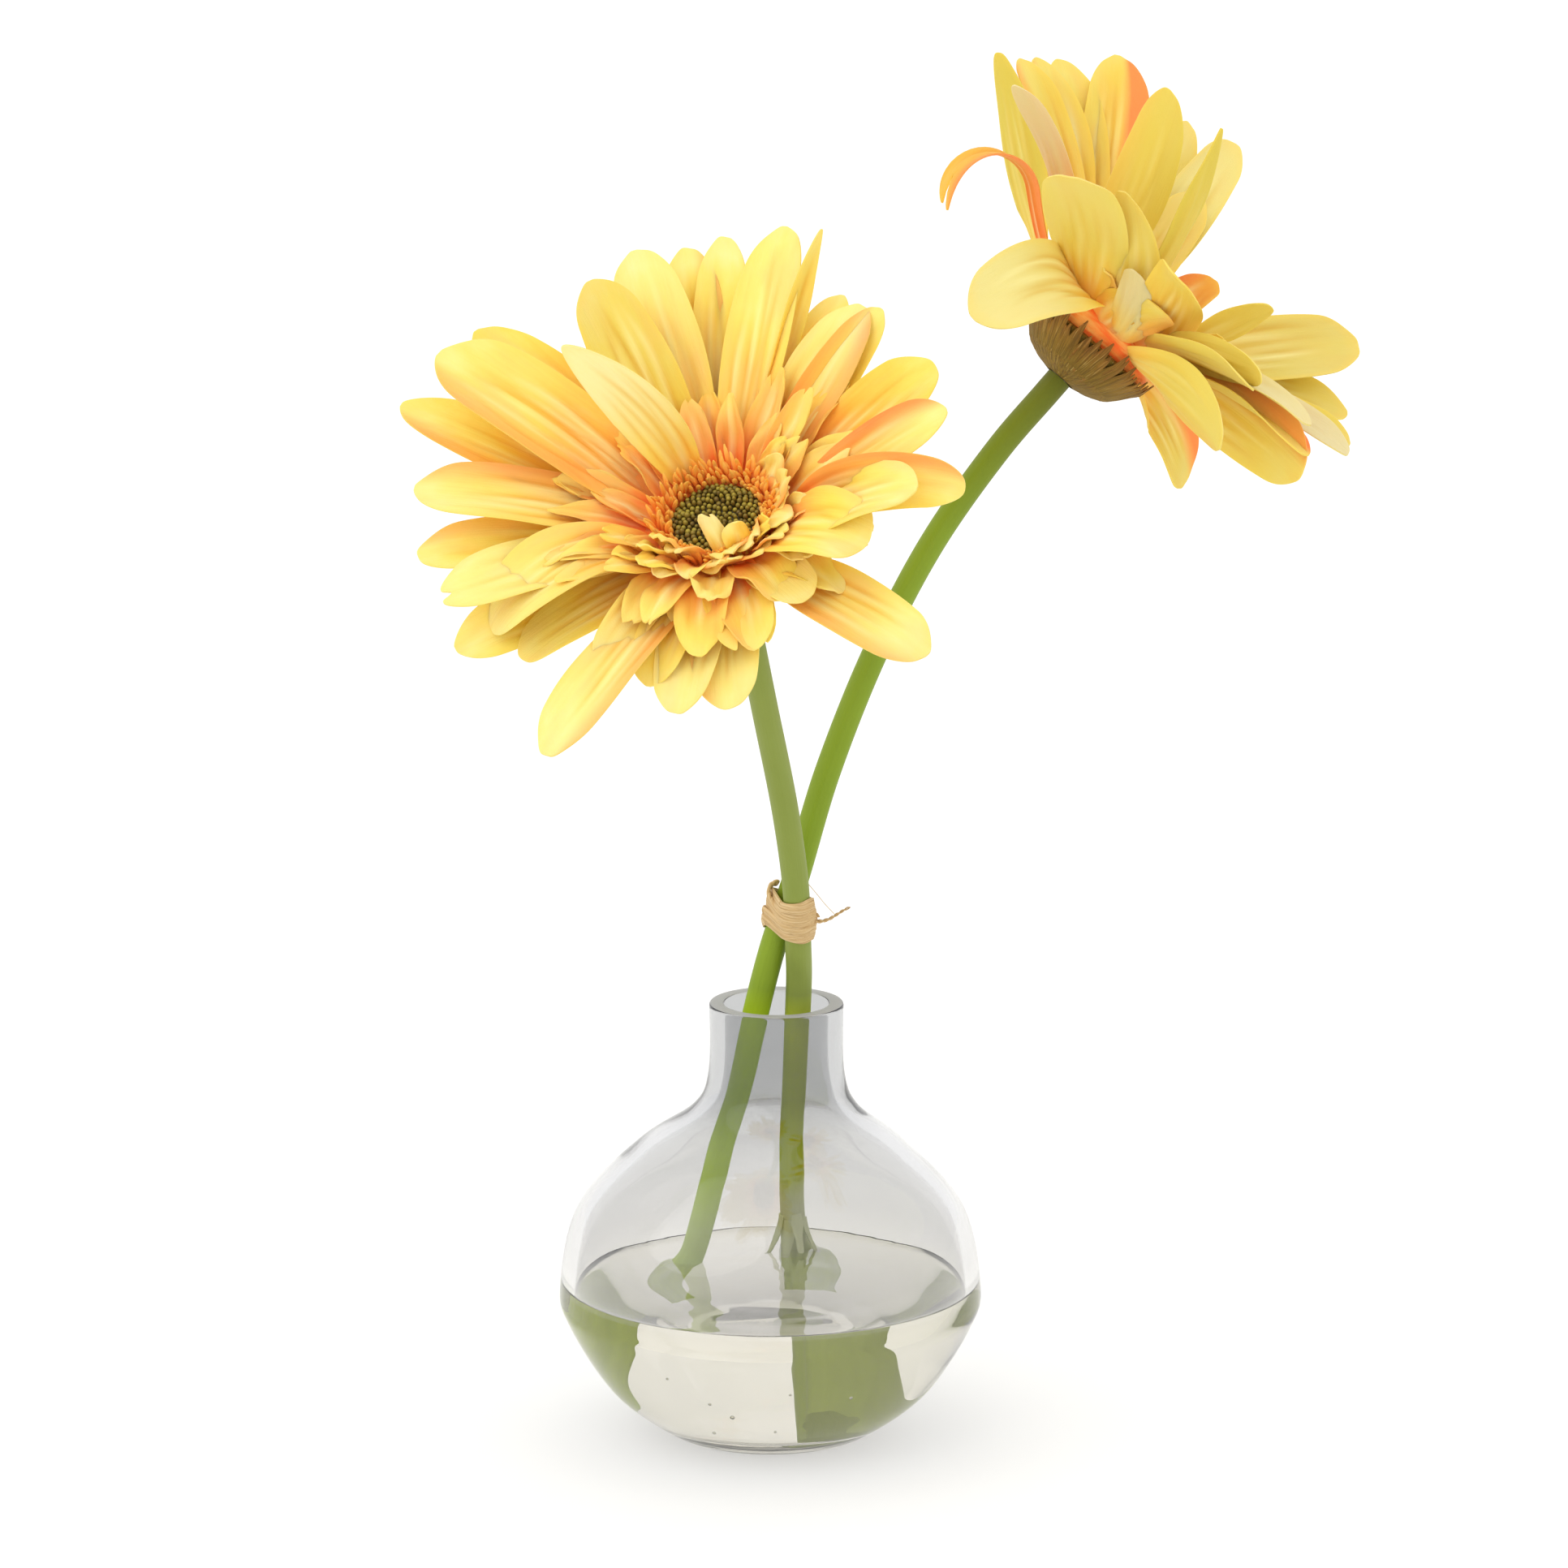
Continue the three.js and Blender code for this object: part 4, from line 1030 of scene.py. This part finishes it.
def make_petals(head, look, rng):
    name = head.name
    place = head_frame(head)
    rays = Shape(place)
    for petal in head.rays:
        add_petal(rays, head, petal, rng)
    rays.piece(name + "_ray_petals", look, name + "_petals", sharp=75)
    florets = Shape(place)
    for petal in inner_florets(head, rng):
        add_petal(florets, head, petal, rng, rows=18, columns=12)
    florets.piece(name + "_inner_florets", look, name + "_petals", sharp=75)
    hub = Shape(place)
    points, faces = turned(HUB_PROFILE, 48)
    plain = dict.fromkeys(("groove", "ridge", "rim", "blush", "pale", "lime", "pink", "under"), 0)
    hub.add(points, faces, along=0.08, gold=0.8, cloth=points, **plain)
    hub.piece(name + "_hub", look, name + "_petals")


def make_fringe(head, look, rng):
    """Dense short fingers between the disc and the florets, taller in the outer rows."""
    draw = rng.uniform
    shape = Shape(head_frame(head))
    t = np.linspace(0, 1, 9)
    oval = 1 + 0.3 * np.cos(np.arange(8) * np.pi / 2)
    for row, (radius, count, tall) in enumerate(FRINGE_ROWS):
        for k in range(count):
            around = staggered(k, row, count) + draw(-0.03, 0.03)
            far = max(0, math.cos(around - math.radians(head.florets.tall_side)))
            height = tall * draw(0.65, 1.12) * (1 + 0.4 * far)
            lean = draw(-0.25, 0.3) + 0.06 * row - 0.1 * far
            around = around + draw(-0.1, 0.1) * t**2
            path = polar(radius + lean * height * t**2 - 0.5 * t, around, FRINGE_FOOT + height * t)
            swell = 0.26 + draw(0.1, 0.24) * np.sin(np.pi * np.clip(t * 1.3 - 0.3, 0, 1))
            swell[-1] = 0.12
            shape.add(*tube(path, swell[:, None] * oval), along=np.repeat(t, 8))
    shape.add(*turned(FRINGE_BASE, 48), along=0)
    shape.piece(head.name + "_fringe_points", look, head.name + "_fringe")


def make_disc(head, look, rng):
    """A low dome of small upright buds, set out along a spiral."""
    shape = Shape(head_frame(head))
    shape.add(*turned(DISC_PROFILE, 48), along=0)
    bud_heights = np.repeat([max(0, z) for _, z in BUD_PROFILE], 8)
    for k in range(BUDS):
        radius = BUDS_REACH * math.sqrt((k + 0.5) / BUDS)
        centre = polar(radius, GOLDEN_ANGLE * k, -0.75 - 0.3 * ((radius - 5.4) / 3) ** 2)
        size = (0.5 + 0.15 * radius / DISC_RADIUS) * rng.uniform(0.8, 1.2)
        tall = rng.uniform(0.7, 1.5)
        points, faces = turned([(r * size, z * tall) for r, z in BUD_PROFILE], 8)
        shape.add(points + centre, faces, along=bud_heights * rng.uniform(0.5, 1.1))
    shape.piece(head.name + "_buds", look, head.name + "_disc")


def make_calyx(head, look, rng):
    """A cup of overlapping pointed bracts in five rows."""
    draw = rng.uniform
    shape = Shape(head_frame(head))
    outside = [(r - 0.25, z + 0.1) for r, z in CALYX_OUTSIDE]
    inside = [(max(r - CALYX_WALL, 0.5), z + 0.6) for r, z in outside[:0:-1]] + [(0.5, -16.6)]
    points, faces = turned([(0, -18.5), *outside, *inside], 60)
    shape.add(points, faces, along=0, cloth=points)
    cup = np.array(CALYX_OUTSIDE)
    run = lengths_along(cup)
    t = np.linspace(0, 1, 9)[:, None]
    s = np.linspace(-1, 1, 5)
    for row, (start, count) in enumerate(BRACT_ROWS):
        for k in range(count):
            around = staggered(k, row, count) + draw(-0.06, 0.06)
            length = draw(7.5, 10.5) + (1.5 if k % 7 == 3 else 0)
            where = start + length * t
            beyond = np.maximum(0, where - run[-1])
            out = np.interp(where, run, cup[:, 0]) + beyond * 0.18
            up = np.interp(where, run, cup[:, 1]) + beyond * 0.95
            lift = 0.08 + 0.05 * row + 0.3 * t**2 * draw(0, 0.8)
            swell = np.sin(np.pi * np.minimum(0.5, 0.3 + t * 0.6)) * (1 - t**2.2)
            side = s * (draw(1.1, 1.45) * swell + 0.04)
            stand = lift + 0.2 * (1 - s**2)
            grid = polar(out + stand, around + side / np.maximum(out, 3), up - 0.6 * stand)
            cloth = cloth_at(side, t * length, draw(0, 40))
            shape.add(*blade(grid[:, ::-1], BRACT_THICKNESS), along=np.repeat(t, 5), cloth=cloth)
    shape.piece(head.name + "_bracts", look, head.name + "_calyx")


# Stage


def make_floor():
    corners = [(-1, -1, 0), (1, -1, 0), (1, 1, 0), (-1, 1, 0)]
    mesh = bpy.data.meshes.new("floor")
    mesh.from_pydata([Vector(corner) * FLOOR_REACH for corner in corners], [], [(0, 1, 2, 3)])
    look = Look(
        "pale_floor", Roughness=0.9, Base_Color=(0.5, 0.5, 0.49, 1),
        Emission_Color=(1, 0.99, 0.97, 1), Emission_Strength=0.5,
    )
    mesh.materials.append(look.material)
    floor = linked("floor", mesh)


def make_camera():
    forward = Vector((0, math.cos(CAMERA_DOWN), -math.sin(CAMERA_DOWN)))
    camera = linked("camera", bpy.data.cameras.new("camera"))
    camera.data.sensor_width = SENSOR
    camera.data.lens = FOCAL_PIXELS / PHOTO_SIDE * SENSOR
    camera.data.clip_end = 50
    camera.location = (CAMERA_AIM - forward * CAMERA_DISTANCE) * MM
    camera.rotation_mode = "QUATERNION"
    camera.rotation_quaternion = forward.to_track_quat("-Z", "Y")
    bpy.context.scene.camera = camera


def make_lights():
    world = bpy.data.worlds.new("studio")
    world.use_nodes = True
    background = world.node_tree.nodes["Background"].inputs
    background["Color"].default_value = (1, 1, 1, 1)
    background["Strength"].default_value = WORLD_STRENGTH
    bpy.context.scene.world = world
    sun = bpy.data.lights.new("window", "SUN")
    sun.energy = SUN_ENERGY
    sun.angle = SUN_WIDTH
    lamp = linked("window", sun)
    lamp.rotation_mode = "QUATERNION"
    lamp.rotation_quaternion = SUN_WAY.to_track_quat("-Z", "Y")
    bpy.context.scene.view_settings.view_transform = "Standard"


make_camera()
make_lights()
make_floor()
make_vase()
make_water()
make_stem("stem_a", STEM_A, HEAD_A, muted_skin())
make_stem("stem_b", STEM_B, HEAD_B, bright_skin())
make_tie([stem_route(STEM_A, HEAD_A), stem_route(STEM_B, HEAD_B)])
head_parts = {
    make_petals: petal_cloth(), make_fringe: fringe_cloth(),
    make_disc: disc_buds(), make_calyx: calyx_bracts(),
}
for seed, head in ((11, HEAD_A), (23, HEAD_B)):
    rng = np.random.default_rng(seed)
    for make_part, look in head_parts.items():
        make_part(head, look, rng)
